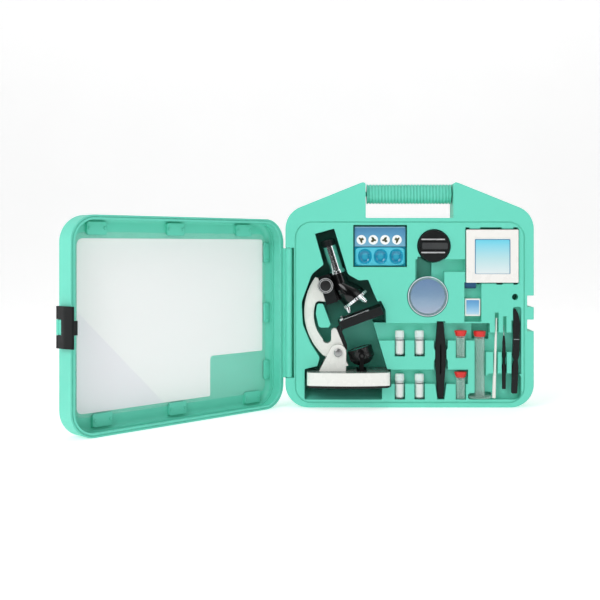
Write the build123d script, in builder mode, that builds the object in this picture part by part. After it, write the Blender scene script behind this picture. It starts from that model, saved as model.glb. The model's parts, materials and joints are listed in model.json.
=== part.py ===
from build123d import *
from math import cos, radians, sin
import os

os.makedirs("parts", exist_ok=True)

# A child's microscope kit: an upright carry case that opens like a book, with the
# microscope and its accessories held in pockets of the tray.
# +Z is up and the tray faces -Y. The origin is the middle of the face that the case stands on.

# ------------------------------------------------------------------ driving dimensions (mm)
CASE_WIDTH = 300.0
BODY_HEIGHT = 229.0
CASE_HEIGHT = 272.0
CORNER_RADIUS = 28.0
BASE_DEPTH = 54.0
HANDLE_DEPTH = 38.0
PANEL = 2.2
SHELL_WALL = 2.5
POCKET_WALL = 1.6
BACK_RADIUS = 6.0
GROOVE_DEPTH = 1.0

HINGE_X = -146.0
HINGE_DEPTH = 4.5
HINGE_LOW = 35.6
HINGE_HIGH = 192.8
PIN_RADIUS = 1.5
RUNNING_GAP = 0.05

LID_LENGTH = 296.0
LID_HEIGHT = 227.0
LID_DEPTH = 28.0
LID_WALL = 2.4
LID_OPEN = 133.4
PARTING_GAP = 0.3
LATCH_Z = 113.6
LATCH_HEIGHT = 42.4

HANDLE_HALF = 53.0
HANDLE_Z = 258.6
HANDLE_Y = -8.0
GRIP_RADIUS = 12.0
SHAFT_RADIUS = 3.0

SCOPE_Y = -12.5
TILT = 17.3
STAGE_TILT = 20.5
TURRET_TILT = 38.6
PIVOT_X = -86.5
PIVOT_Z = 66.1
ARM_HALF = 7.5

FACE_Y = -BASE_DEPTH / 2
HALF = CASE_WIDTH / 2


# ------------------------------------------------------------------ planes
def tilted(origin_x, origin_z, degrees):
    """Plane whose normal leans to -X from straight up by an angle, with local y along +Y."""
    lean = radians(degrees)
    return Plane(
        origin=(origin_x, SCOPE_Y, origin_z),
        x_dir=(cos(lean), 0, sin(lean)),
        z_dir=(-sin(lean), 0, cos(lean)),
    )


def side_view(plane):
    """Plane through the same origin, seen from the front: local y is the other's normal."""
    return Plane(origin=plane.origin, x_dir=plane.x_dir, z_dir=(0, -1, 0))


def inside(depth):
    """Plane parallel to the tray face, a depth behind it. Local x is X and local y is Z."""
    return Plane.XZ.offset(BASE_DEPTH / 2 - depth)


def middle(half):
    """Plane in front of the microscope's middle plane by half its thickness."""
    return Plane.XZ.offset(half - SCOPE_Y)


OPEN = radians(LID_OPEN)
LID_X_DIR = (cos(OPEN), -sin(OPEN), 0)
LID_OUT_DIR = (-sin(OPEN), -cos(OPEN), 0)
HINGE_Y = FACE_Y + HINGE_DEPTH


def lid_layer(depth):
    """Plane parallel to the lid. Local x runs from the hinge axis and local y is Z."""
    return Plane(origin=(HINGE_X, HINGE_Y, 0), x_dir=LID_X_DIR, z_dir=LID_OUT_DIR).offset(depth)


def lid_plan(height):
    """Horizontal plane: local x runs from the hinge axis, local y towards the lid's back."""
    return Plane(origin=(HINGE_X, HINGE_Y, height), x_dir=LID_X_DIR, z_dir=(0, 0, -1))


TUBE = tilted(-87.35, 163.0, TILT)
TURRET = tilted(-66.4, 131.5, TURRET_TILT)
STAGE = tilted(-86.4, 103.8, STAGE_TILT)
MIRROR = tilted(-57.8, 62.6, TILT)


# ------------------------------------------------------------------ helpers
def outline(points, radii=0):
    """Closed outline through the points, with its corners rounded."""
    with BuildSketch() as shape:
        with BuildLine():
            FilletPolyline(*points, radius=radii, close=True)
        make_face()
    return shape.sketch


def block(x0, x1, z0, z1, radius=0, mode=Mode.ADD):
    """Rectangle given by its sides, in the open sketch."""
    with Locations(((x0 + x1) / 2, (z0 + z1) / 2)):
        if radius:
            RectangleRounded(x1 - x0, z1 - z0, radius, mode=mode)
        else:
            Rectangle(x1 - x0, z1 - z0, mode=mode)


def save(piece, name):
    """Name a finished piece and write its file."""
    piece.part.label = name
    export_step(piece.part, f"parts/{name}.step")


# ------------------------------------------------------------------ case outlines
SHOULDER = (HALF, 234.8)
HORN_TOP = (57.6, CASE_HEIGHT)
NOTCH_DEEP = 8.0
NOTCH_HALF = 21.5
TAB_HALF = 7.5

BASE_OUTLINE = outline(
    [
        (-HALF, 0),
        (HALF, 0),
        SHOULDER,
        HORN_TOP,
        (HANDLE_HALF, CASE_HEIGHT),
        (HANDLE_HALF, BODY_HEIGHT),
        (-HANDLE_HALF, BODY_HEIGHT),
        (-HANDLE_HALF, CASE_HEIGHT),
        (-HORN_TOP[0], CASE_HEIGHT),
        (-HALF, SHOULDER[1]),
    ],
    [CORNER_RADIUS, CORNER_RADIUS, CORNER_RADIUS, 8, 3, 1.5, 1.5, 3, 8, CORNER_RADIUS],
)

with BuildSketch() as base_inner:
    add(BASE_OUTLINE)
    offset(amount=-SHELL_WALL, kind=Kind.INTERSECTION)

with BuildSketch() as body_outline:
    add(BASE_OUTLINE)
    split(bisect_by=Plane.XZ.offset(-BODY_HEIGHT), keep=Keep.TOP)

with BuildSketch() as body_inner:
    add(base_inner.sketch)
    split(bisect_by=Plane.XZ.offset(-(BODY_HEIGHT - SHELL_WALL)), keep=Keep.TOP)

SCREWS = [(-136, 14.5), (-136, 213), (141, 24), (139, 222), (30, 222), (57, 125)]
BOSS_RADIUS = 4.0
SCREW_RADIUS = 1.5
SCREW_HEAD_RADIUS = 3.0
POST_DEPTH = 12.0
HEAD_DEPTH = 26.0


def latch_notches():
    """Two gaps in the right-hand side, one above and one below the latch tab."""
    for side in (-1, 1):
        low, high = sorted((LATCH_Z + side * TAB_HALF, LATCH_Z + side * NOTCH_HALF))
        block(HALF - NOTCH_DEEP, HALF + 1, low, high)


# ------------------------------------------------------------------ rear shell of the case
HINGE_NOTCH = 14.5
HINGE_NOTCH_X = -139.6

with BuildPart() as base_rear_shell:
    with BuildSketch(inside(PANEL)):
        add(BASE_OUTLINE)
    extrude(amount=-(HANDLE_DEPTH - PANEL))
    with BuildSketch(inside(PANEL)):
        add(body_outline.sketch)
    extrude(amount=-(BASE_DEPTH - PANEL))
    fillet(base_rear_shell.faces().sort_by(Axis.Y)[-1].edges(), BACK_RADIUS)
    with BuildSketch(inside(PANEL)):
        add(base_inner.sketch)
    extrude(amount=-(HANDLE_DEPTH - PANEL - SHELL_WALL), mode=Mode.SUBTRACT)
    with BuildSketch(inside(PANEL)):
        add(body_inner.sketch)
    extrude(amount=-(BASE_DEPTH - PANEL - SHELL_WALL), mode=Mode.SUBTRACT)
    # solid ears above and below the hinge gap, and walls round the gap
    with BuildSketch(inside(PANEL)):
        block(-HALF + 1, HINGE_NOTCH_X + SHELL_WALL, HINGE_LOW - 13, HINGE_HIGH + 13)
    extrude(amount=-(HINGE_NOTCH + SHELL_WALL - PANEL))
    with BuildSketch(inside(0)):
        block(-HALF - 1, HINGE_NOTCH_X, HINGE_LOW, HINGE_HIGH)
    extrude(amount=-HINGE_NOTCH, mode=Mode.SUBTRACT)
    with BuildSketch(Plane.XY.offset(HINGE_LOW - 11.6)):
        with Locations((HINGE_X, HINGE_Y)):
            Circle(PIN_RADIUS)
    extrude(amount=HINGE_HIGH - HINGE_LOW + 23.2, mode=Mode.SUBTRACT)
    # latch tab: a solid face with a groove that the latch hooks into
    with BuildSketch(inside(PANEL)):
        block(HALF - NOTCH_DEEP - SHELL_WALL, HALF - 1, LATCH_Z - 24, LATCH_Z + 24)
    extrude(amount=-(BASE_DEPTH - PANEL - 1))
    with BuildSketch(inside(0)):
        latch_notches()
    extrude(amount=-BASE_DEPTH, mode=Mode.SUBTRACT)
    with BuildSketch(inside(4.2)):
        block(HALF - 3, HALF + 1, LATCH_Z - TAB_HALF, LATCH_Z + TAB_HALF)
    extrude(amount=-4.6, mode=Mode.SUBTRACT)
    # sockets for the handle shaft
    for side in (-1, 1):
        with BuildSketch(Plane.YZ.offset(side * HANDLE_HALF)):
            with Locations((HANDLE_Y, HANDLE_Z)):
                Circle(6)
        extrude(amount=side * 8)
        with BuildSketch(Plane.YZ.offset(side * HANDLE_HALF)):
            with Locations((HANDLE_Y, HANDLE_Z)):
                Circle(SHAFT_RADIUS)
        extrude(amount=side * 7, mode=Mode.SUBTRACT)
    # screw bosses, drilled and counterbored from the back
    with BuildSketch(inside(POST_DEPTH)):
        with Locations(*SCREWS):
            Circle(BOSS_RADIUS)
    extrude(amount=-(BASE_DEPTH - POST_DEPTH - SHELL_WALL))
    with BuildSketch(inside(POST_DEPTH)):
        with Locations(*SCREWS):
            Circle(SCREW_RADIUS + 0.2)
    extrude(amount=-(BASE_DEPTH - POST_DEPTH), mode=Mode.SUBTRACT)
    with BuildSketch(inside(HEAD_DEPTH)):
        with Locations(*SCREWS):
            Circle(SCREW_HEAD_RADIUS + 0.2)
    extrude(amount=-(BASE_DEPTH - HEAD_DEPTH), mode=Mode.SUBTRACT)
save(base_rear_shell, "base_rear_shell")

# ------------------------------------------------------------------ pockets of the tray
SCOPE_POCKET_DEPTH = 48.0
POCKET_LEFT = -126.9
POCKET_RIGHT = -33.3
POCKET_LOW = 9.6
SLOPE_Y = FACE_Y + 3.0
SLOPE_BACK = FACE_Y + SCOPE_POCKET_DEPTH
SLOPE_TOP = 24.8
SHELF = 12.0
VIAL_X = (-11.7, 12.2)
TWEEZERS_X = 37.8
SAMPLE_X = 62.0
CYLINDER_X = 85.5

SCOPE_POCKET = outline(
    [
        (POCKET_LEFT, POCKET_LOW),
        (POCKET_LEFT, 46.2),
        (-111.6, 50.0),
        (-108.6, 60.0),
        (-119.8, 77.6),
        (-129.2, 100.0),
        (-130.6, 127.0),
        (-118.2, 161.0),
        (-103.9, 172.5),
        (-114.4, 209.8),
        (-91.2, 216.1),
        (-74.4, 160.8),
        (-61.6, 153.5),
        (-50.0, 154.2),
        (-43.2, 138.0),
        (-38.6, 127.6),
        (-34.4, 129.0),
        (-29.0, 117.0),
        (-28.4, 101.8),
        (-43.6, 101.8),
        (-27.0, 46.2),
        (-22.2, 46.2),
        (-22.2, 25.0),
        (POCKET_RIGHT, 25.0),
        (POCKET_RIGHT, POCKET_LOW),
    ],
    [2, 2, 1, 4, 8, 18, 18, 14, 3, 1, 1, 6, 6, 2, 3, 1, 2, 3, 0, 0, 1, 1, 1, 1, 2],
)

ISLAND = outline(
    [(-111.8, 125.2), (-104.6, 125.2), (-95.4, 100.4), (-97.6, 96.6), (-109.6, 96.4), (-113.4, 113.0)],
    [3, 3, 1.5, 1.5, 4, 6],
)

TWEEZERS_POCKET = [
    (-4.2, 9.6),
    (-7.0, 29.0),
    (-8.4, 44.0),
    (-8.4, 56.0),
    (-7.0, 59.0),
    (-7.0, 69.0),
    (-8.4, 72.0),
    (-8.4, 84.0),
    (-5.0, 104.2),
]


def leaf(half_outline, centre):
    """Outline made of a left-hand half and its mirror image about a vertical line."""
    left = [(centre + x, z) for x, z in half_outline]
    right = [(centre - x, z) for x, z in reversed(half_outline)]
    return outline(left + right)


with BuildSketch() as scope_hole:
    add(SCOPE_POCKET)
    add(ISLAND, mode=Mode.SUBTRACT)

with BuildSketch() as shelf_hole:
    # the two long shelves and the slots that hold the vials and the tubes
    block(-44.0, 78.5, 80.8, 101.8)
    block(-34.0, 70.6, 28.3, 45.7)
    for x in VIAL_X:
        block(x - 6.3, x + 6.3, 61.6, 82.0)
        block(x - 6.3, x + 6.3, 9.6, 29.0)
    for low, high in ((59.8, 82.0), (9.6, 29.0)):
        block(SAMPLE_X - 6.3, SAMPLE_X + 6.3, low, high)
    # the tool bay on the right of the measuring cylinder
    block(92.0, 134.9, 66.8, 90.5, 1.5)
    block(92.0, 134.9, 9.6, 41.0, 6)
    # the small box under the slide box
    block(66.2, 86.8, 103.5, 151.0)
    # the step beside the slicer
    block(7.0, 66.9, 163.9, 179.0)
    block(7.0, 41.9, 148.0, 165.0)
    add(leaf(TWEEZERS_POCKET, TWEEZERS_X))

with BuildSketch() as tool_slots:
    block(101.0, 106.6, 40.0, 67.5, 1)
    block(103.0, 107.6, 89.5, 114.5)
    block(111.2, 117.6, 40.0, 67.5, 1)
    block(113.0, 117.0, 89.5, 110.0)
    block(123.0, 134.9, 40.0, 105.0)
    block(124.8, 134.9, 104.0, 121.6, 3)

with BuildSketch() as deep_hole:
    # round the measuring cylinder's cap, and the dark channel under the slicer
    block(76.4, 96.9, 82.0, 101.8)
    block(9.5, 27.5, 150.0, 182.0)

with BuildSketch() as cylinder_hole:
    block(78.5, 92.5, 9.6, 101.8)

with BuildSketch() as cylinder_foot_hole:
    block(70.6, 100.6, 9.6, 17.4, 3)

with BuildSketch() as specimen_hole:
    block(-68.0, -3.0, 169.7, 220.4)

with BuildSketch() as slicer_hole:
    with Locations((29.4, 195.1)):
        Circle(20.3)

with BuildSketch() as petri_hole:
    with Locations((22.0, 134.1)):
        Circle(25.0)

with BuildSketch() as slide_box_hole:
    block(67.3, 132.1, 149.8, 216.0)
    # finger notches along the top and the bottom edge
    for x0, x1 in ((67.6, 72.4), (85.4, 111.3), (125.3, 130.7)):
        block(x0, x1, 215.0, 217.5)
    for x0, x1 in ((82.2, 86.5), (104.8, 112.4), (125.3, 130.7)):
        block(x0, x1, 148.4, 151.0)

with BuildSketch() as peg_hole:
    with Locations((127.5, 133.5)):
        Circle(3.8)

POCKETS = [
    (scope_hole.sketch, SCOPE_POCKET_DEPTH),
    (shelf_hole.sketch, SHELF),
    (tool_slots.sketch, 7.0),
    (deep_hole.sketch, 21.0),
    (cylinder_hole.sketch, 14.6),
    (cylinder_foot_hole.sketch, 22.5),
    (specimen_hole.sketch, 18.0),
    (slicer_hole.sketch, 26.0),
    (petri_hole.sketch, 10.0),
    (slide_box_hole.sketch, 20.0),
    (peg_hole.sketch, 20.0),
]

# ------------------------------------------------------------------ tray panel
with BuildPart() as tray_panel:
    with BuildSketch(inside(0)):
        add(BASE_OUTLINE)
    extrude(amount=-PANEL)
    for hole, depth in POCKETS:
        with BuildSketch(inside(0)):
            add(hole)
            offset(amount=POCKET_WALL)
        extrude(amount=-(depth + POCKET_WALL))
    with BuildSketch(inside(PANEL)):
        with Locations(*SCREWS):
            Circle(BOSS_RADIUS)
    extrude(amount=-(POST_DEPTH - PANEL))
    for hole, depth in POCKETS:
        with BuildSketch(inside(0)):
            add(hole)
        extrude(amount=-depth, mode=Mode.SUBTRACT)
    # the island in the microscope's pocket is hollow from behind
    with BuildSketch(inside(PANEL)):
        add(ISLAND)
        offset(amount=-POCKET_WALL, kind=Kind.INTERSECTION)
    extrude(amount=-BASE_DEPTH, mode=Mode.SUBTRACT)
    # screw holes, hinge gap, latch gaps and the fine line that frames the pockets
    with BuildSketch(inside(4.0)):
        with Locations(*SCREWS):
            Circle(SCREW_RADIUS)
    extrude(amount=-POST_DEPTH, mode=Mode.SUBTRACT)
    with BuildSketch(inside(0)):
        block(-HALF - 1, HINGE_NOTCH_X, HINGE_LOW, HINGE_HIGH)
        latch_notches()
    extrude(amount=-PANEL, mode=Mode.SUBTRACT)
    with BuildSketch(inside(0)):
        block(-138.4, 139.2, 5.4, 224.6, 20)
        block(-137.0, 137.8, 6.8, 223.2, 18.6, mode=Mode.SUBTRACT)
    extrude(amount=-GROOVE_DEPTH, mode=Mode.SUBTRACT)
    # a slope under the microscope's foot, hollow from behind, that rises to carry the foot's rear
    with BuildSketch(Plane.YZ.offset(POCKET_LEFT - 0.5)):
        add(outline([(SLOPE_Y, POCKET_LOW), (SLOPE_BACK, POCKET_LOW), (SLOPE_BACK, SLOPE_TOP)]))
    extrude(amount=POCKET_RIGHT - POCKET_LEFT + 1.0)
    with BuildSketch(Plane.YZ.offset(POCKET_LEFT)):
        add(
            outline(
                [
                    (SLOPE_Y + 6.0, POCKET_LOW),
                    (SLOPE_BACK + 5.0, POCKET_LOW),
                    (SLOPE_BACK + 5.0, SLOPE_TOP - 0.4),
                    (SLOPE_BACK, SLOPE_TOP - 2.0),
                ]
            )
        )
    extrude(amount=POCKET_RIGHT - POCKET_LEFT, mode=Mode.SUBTRACT)
save(tray_panel, "tray_panel")

# ------------------------------------------------------------------ case fasteners and handle
with BuildPart() as base_screws:
    with BuildSketch(inside(4.4)):
        with Locations(*SCREWS):
            Circle(SCREW_RADIUS)
    extrude(amount=-(HEAD_DEPTH - 4.4))
    with BuildSketch(inside(HEAD_DEPTH)):
        with Locations(*SCREWS):
            Circle(SCREW_HEAD_RADIUS)
    extrude(amount=-2.2)
    with BuildSketch(inside(HEAD_DEPTH + 1.2)):
        with Locations(*SCREWS):
            Rectangle(3.6, 0.8)
            Rectangle(0.8, 3.6)
    extrude(amount=-1.0, mode=Mode.SUBTRACT)
save(base_screws, "base_screws")

with BuildPart() as hinge_pin:
    with BuildSketch(Plane.XY.offset(HINGE_LOW - 11)):
        with Locations((HINGE_X, HINGE_Y)):
            Circle(PIN_RADIUS)
    extrude(amount=HINGE_HIGH - HINGE_LOW + 22)
save(hinge_pin, "hinge_pin")

with BuildPart() as handle_shaft:
    with BuildSketch(Plane.YZ.offset(-HANDLE_HALF - 6.5)):
        with Locations((HANDLE_Y, HANDLE_Z)):
            Circle(SHAFT_RADIUS)
    extrude(amount=2 * HANDLE_HALF + 13)
save(handle_shaft, "handle_shaft")

RIBS = 26
RIB_PITCH = 3.9
GRIP_LENGTH = 102.8

with BuildPart() as handle_grip:
    with BuildSketch(Plane.XZ.offset(-HANDLE_Y)):
        bore = HANDLE_Z + SHAFT_RADIUS + RUNNING_GAP
        block(-GRIP_LENGTH / 2, GRIP_LENGTH / 2, bore, HANDLE_Z + GRIP_RADIUS)
        with Locations((0, HANDLE_Z + GRIP_RADIUS)):
            with GridLocations(RIB_PITCH, 1, RIBS, 1):
                Rectangle(1.6, 2.2, mode=Mode.SUBTRACT)
    revolve(axis=Axis((0, HANDLE_Y, HANDLE_Z), (1, 0, 0)))
save(handle_grip, "handle_grip")

# ------------------------------------------------------------------ lid
RIM = HINGE_DEPTH + PARTING_GAP
LID_TOP = HINGE_DEPTH + LID_DEPTH
LID_NEAR = 4.6
BARREL_RADIUS = 4.0
BARREL_LOW = HINGE_LOW + 0.4
BARREL_HIGH = HINGE_HIGH - 0.4
RIM_WIDTH = 5.0
LATCH_PIVOT_X = LID_LENGTH + 3.6
LATCH_PIVOT_DEPTH = 20.9
LATCH_PIN_RADIUS = 1.25
LATCH_BARREL_RADIUS = 2.7
LUG_HALF = 7.7
LUG_REACH = 6.0

with BuildSketch() as lid_outline:
    block(LID_NEAR, LID_LENGTH, 0, LID_HEIGHT, CORNER_RADIUS)

with BuildPart() as lid_cavity:
    with BuildSketch(lid_layer(RIM + LID_WALL)):
        add(lid_outline.sketch)
        offset(amount=-LID_WALL)
    extrude(amount=LID_TOP - RIM - 2 * LID_WALL)
    lid_axis = Axis((HINGE_X, HINGE_Y, 0), LID_OUT_DIR)
    fillet(lid_cavity.faces().sort_by(lid_axis)[-1].edges(), 5.5)
    with BuildSketch(lid_layer(RIM)):
        add(lid_outline.sketch)
        offset(amount=-RIM_WIDTH)
    extrude(amount=LID_WALL)

# the clear window and the centres of the clips along its top, bottom and hinge side
WINDOW_X = (13.0, 277.0)
WINDOW_Z = (17.0, 209.5)
TOP_CLIPS = (252.0, 150.0, 49.0)
BOTTOM_CLIPS = (245.0, 147.0, 35.0)
SIDE_CLIPS = (187.0, 114.0, 44.0)
CLIP_LENGTH = 24.0
CARD_DEPTH = LID_TOP - LID_WALL - 0.6
WINDOW_THICK = 1.0
WINDOW_DEPTH = CARD_DEPTH - WINDOW_THICK - 0.1
CLIP_OUT = 11.0
CLIP_OVER = 3.0
CLIP_THICK = 2.4


def clip_sketch(over, out, radius):
    """Rectangles along the window's edges, reaching in over it and out past it."""
    for x in TOP_CLIPS:
        block(x - CLIP_LENGTH / 2, x + CLIP_LENGTH / 2, WINDOW_Z[1] - over, WINDOW_Z[1] + out, radius)
    for x in BOTTOM_CLIPS:
        block(x - CLIP_LENGTH / 2, x + CLIP_LENGTH / 2, WINDOW_Z[0] - out, WINDOW_Z[0] + over, radius)
    for z in SIDE_CLIPS:
        block(WINDOW_X[0] - out / 2, WINDOW_X[0] + over, z - CLIP_LENGTH / 2, z + CLIP_LENGTH / 2, radius)


def clip_ends():
    """Centres of the two round pins on each clip."""
    side = CLIP_LENGTH / 2 - 2.5
    for end in (-side, side):
        for x in TOP_CLIPS:
            yield x + end, WINDOW_Z[1] + 4.0
        for x in BOTTOM_CLIPS:
            yield x + end, WINDOW_Z[0] - 4.0
        for z in SIDE_CLIPS:
            yield WINDOW_X[0] - 1.0, z + end


def lid_band(outer, inner):
    """Band between two insets of the lid's outline."""
    with BuildSketch() as hole:
        add(lid_outline.sketch)
        offset(amount=-inner)
    with BuildSketch() as band:
        add(lid_outline.sketch)
        offset(amount=-outer)
        add(hole.sketch, mode=Mode.SUBTRACT)
    return band.sketch


with BuildPart() as lid_shell:
    with BuildSketch(lid_layer(RIM)):
        add(lid_outline.sketch)
    extrude(amount=LID_TOP - RIM)
    fillet(lid_shell.faces().sort_by(lid_axis)[-1].edges(), 8)
    add(lid_cavity.part, mode=Mode.SUBTRACT)
    # hinge barrel and the web that joins it to the lid's wall
    with BuildSketch(lid_plan(BARREL_LOW)):
        Circle(BARREL_RADIUS)
        block(0, 6.0, 0.5, 8.5)
    extrude(amount=-(BARREL_HIGH - BARREL_LOW))
    with BuildSketch(lid_plan(BARREL_LOW)):
        Circle(PIN_RADIUS + RUNNING_GAP)
    extrude(amount=-(BARREL_HIGH - BARREL_LOW), mode=Mode.SUBTRACT)
    # lug that carries the latch
    with BuildSketch(lid_plan(LATCH_Z - LUG_HALF)):
        block(
            LID_LENGTH - 1,
            LATCH_PIVOT_X + 1.2,
            LATCH_PIVOT_DEPTH - LUG_REACH,
            LATCH_PIVOT_DEPTH + LATCH_BARREL_RADIUS,
        )
        with Locations((LATCH_PIVOT_X, LATCH_PIVOT_DEPTH)):
            Circle(LATCH_BARREL_RADIUS)
            Circle(LATCH_PIN_RADIUS + RUNNING_GAP, mode=Mode.SUBTRACT)
    extrude(amount=-2 * LUG_HALF)
    # window clips: a post beyond the edge, a hook over it and two round pins
    with BuildSketch(lid_layer(WINDOW_DEPTH)):
        clip_sketch(-0.2, CLIP_OUT, 0)
    extrude(amount=LID_TOP - LID_WALL - WINDOW_DEPTH + 0.5)
    with BuildSketch(lid_layer(WINDOW_DEPTH - CLIP_THICK)):
        clip_sketch(CLIP_OVER, CLIP_OUT, 2.5)
    extrude(amount=CLIP_THICK)
    with BuildSketch(lid_layer(WINDOW_DEPTH - CLIP_THICK - 1.0)):
        with Locations(*clip_ends()):
            Circle(1.6)
    extrude(amount=1.2)
    # a fine groove round the rim's face and a bead round the inside of the walls
    with BuildSketch(lid_layer(RIM)):
        add(lid_band(1.7, 2.7))
    extrude(amount=0.8, mode=Mode.SUBTRACT)
    with BuildSketch(lid_layer(RIM + 15.0)):
        add(lid_band(LID_WALL - 0.2, LID_WALL + 1.6))
    extrude(amount=1.6)
save(lid_shell, "lid_shell")

with BuildPart() as lid_card:
    with BuildSketch(lid_layer(CARD_DEPTH)):
        block(16.5, 274.0, 21.0, 203.0, 8)
        block(10.0, 98.0, 15.0, 67.5, mode=Mode.SUBTRACT)
    extrude(amount=0.6)
save(lid_card, "lid_card")

with BuildPart() as lid_window:
    with BuildSketch(lid_layer(WINDOW_DEPTH)):
        block(*WINDOW_X, *WINDOW_Z, 10)
    extrude(amount=WINDOW_THICK)
save(lid_window, "lid_window")

# ------------------------------------------------------------------ latch
LATCH_LOW = LATCH_Z - LATCH_HEIGHT / 2
LATCH_TIP = -3.6
LATCH_INNER = LID_LENGTH + 0.8
LUG_GAP = 0.5
HOOK_HALF = 7.2

with BuildPart() as latch:
    with BuildSketch(lid_plan(LATCH_LOW)):
        with Locations((LATCH_PIVOT_X, LATCH_PIVOT_DEPTH)):
            Circle(LATCH_BARREL_RADIUS)
        add(
            outline(
                [
                    (LATCH_INNER, LATCH_PIVOT_DEPTH),
                    (LATCH_PIVOT_X + 2.4, LATCH_PIVOT_DEPTH),
                    (LATCH_PIVOT_X + 2.0, 9.0),
                    (LATCH_PIVOT_X - 1.2, -1.5),
                    (LATCH_INNER, LATCH_TIP),
                ],
                [0, 0, 16, 2, 0.3],
            )
        )
        with Locations((LATCH_PIVOT_X, LATCH_PIVOT_DEPTH)):
            Circle(LATCH_PIN_RADIUS, mode=Mode.SUBTRACT)
    extrude(amount=-LATCH_HEIGHT)
    # gap that the lug shows through
    with BuildSketch(lid_plan(LATCH_Z - LUG_HALF - LUG_GAP)):
        block(
            LATCH_INNER - 2,
            LATCH_PIVOT_X + 5,
            LATCH_PIVOT_DEPTH - LUG_REACH - 1.5,
            LATCH_PIVOT_DEPTH + 5,
        )
    extrude(amount=-2 * (LUG_HALF + LUG_GAP), mode=Mode.SUBTRACT)
    # hook for the groove in the case's tab
    with BuildSketch(lid_plan(LATCH_Z - HOOK_HALF)):
        block(LID_LENGTH - 2.6, LATCH_INNER + 0.5, LATCH_TIP, LATCH_TIP + 3.0)
    extrude(amount=-2 * HOOK_HALF)
save(latch, "latch")

with BuildPart() as latch_pin:
    with BuildSketch(lid_plan(LATCH_LOW + 1)):
        with Locations((LATCH_PIVOT_X, LATCH_PIVOT_DEPTH)):
            Circle(LATCH_PIN_RADIUS)
    extrude(amount=-(LATCH_HEIGHT - 2))
save(latch_pin, "latch_pin")

# ------------------------------------------------------------------ microscope foot
FOOT_TOP = 43.8
FOOT_LOW = 28.0
PAD_LOW = 25.2
FOOT_ENDS = (-123.8, -24.0)
FOOT_HALF = 33.0
FOOT_END_HALF = 27.5


def foot_plan(inset):
    """Plan of the foot: straight ends and bowed sides."""
    x0, x1 = FOOT_ENDS[0] + inset, FOOT_ENDS[1] - inset
    xm = (x0 + x1) / 2
    end = FOOT_END_HALF - inset
    mid = FOOT_HALF - inset
    with BuildSketch() as plan:
        with BuildLine():
            ThreePointArc((x0, SCOPE_Y - end), (xm, SCOPE_Y - mid), (x1, SCOPE_Y - end))
            Line((x1, SCOPE_Y - end), (x1, SCOPE_Y + end))
            ThreePointArc((x1, SCOPE_Y + end), (xm, SCOPE_Y + mid), (x0, SCOPE_Y + end))
            Line((x0, SCOPE_Y + end), (x0, SCOPE_Y - end))
        make_face()
        fillet(plan.vertices(), max(6 - inset, 1))
    return plan.sketch


BOLT_RADIUS = 3.0
EAR_INNER = 8.0
EAR_OUTER = 14.0

with BuildSketch() as ear_outline:
    with BuildLine():
        CenterArc((PIVOT_X, PIVOT_Z), 10, 0, 360)
        Line((-109.8, FOOT_TOP - 1), (-77.0, FOOT_TOP - 1))
    make_hull()
    add(outline([(-78, 57), (-73.9, 50.8), (-76.2, 49.6), (-78, 52)], [0, 0.8, 0.5, 0]))
    with Locations((PIVOT_X, PIVOT_Z)):
        Circle(BOLT_RADIUS, mode=Mode.SUBTRACT)

with BuildPart() as foot_casting:
    with BuildSketch(Plane.XY.offset(FOOT_LOW)):
        add(foot_plan(0))
    extrude(amount=FOOT_TOP - FOOT_LOW)
    fillet(foot_casting.faces().sort_by(Axis.Z)[-1].edges(), 1.2)
    with BuildSketch(Plane.XY.offset(FOOT_LOW)):
        add(foot_plan(3.0))
    extrude(amount=FOOT_TOP - FOOT_LOW - 3.0, mode=Mode.SUBTRACT)
    for front in (-EAR_INNER, EAR_OUTER):
        with BuildSketch(middle(front)):
            add(ear_outline.sketch)
        extrude(amount=-(EAR_OUTER - EAR_INNER))
save(foot_casting, "foot_casting")

with BuildPart() as foot_pad:
    with BuildSketch(Plane.XY.offset(PAD_LOW)):
        add(foot_plan(0.6))
    extrude(amount=FOOT_LOW - PAD_LOW)
    fillet(foot_pad.faces().sort_by(Axis.Z)[0].edges(), 0.8)
save(foot_pad, "foot_pad")

with BuildPart() as tilt_bolt:
    for half, radius in ((EAR_OUTER, BOLT_RADIUS), (EAR_OUTER + 2.4, 5.0)):
        with BuildSketch(middle(half)):
            with Locations((PIVOT_X, PIVOT_Z)):
                Circle(radius)
        extrude(amount=-2 * half if radius == BOLT_RADIUS else -2.4)
    with BuildSketch(middle(-EAR_OUTER)):
        with Locations((PIVOT_X, PIVOT_Z)):
            RegularPolygon(5.4, 6)
    extrude(amount=-2.4)
save(tilt_bolt, "tilt_bolt")

# ------------------------------------------------------------------ arm and focus housing
HOUSING_LEFT = -24.1
HOUSING_RIGHT = -10.2
HOUSING_TOP = 1.0
HOUSING_LOW = -34.0
PINION_A = -18.2
PINION_B = -10.9
ROOT_RADIUS = 9.3
SIDE = side_view(TUBE)

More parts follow.
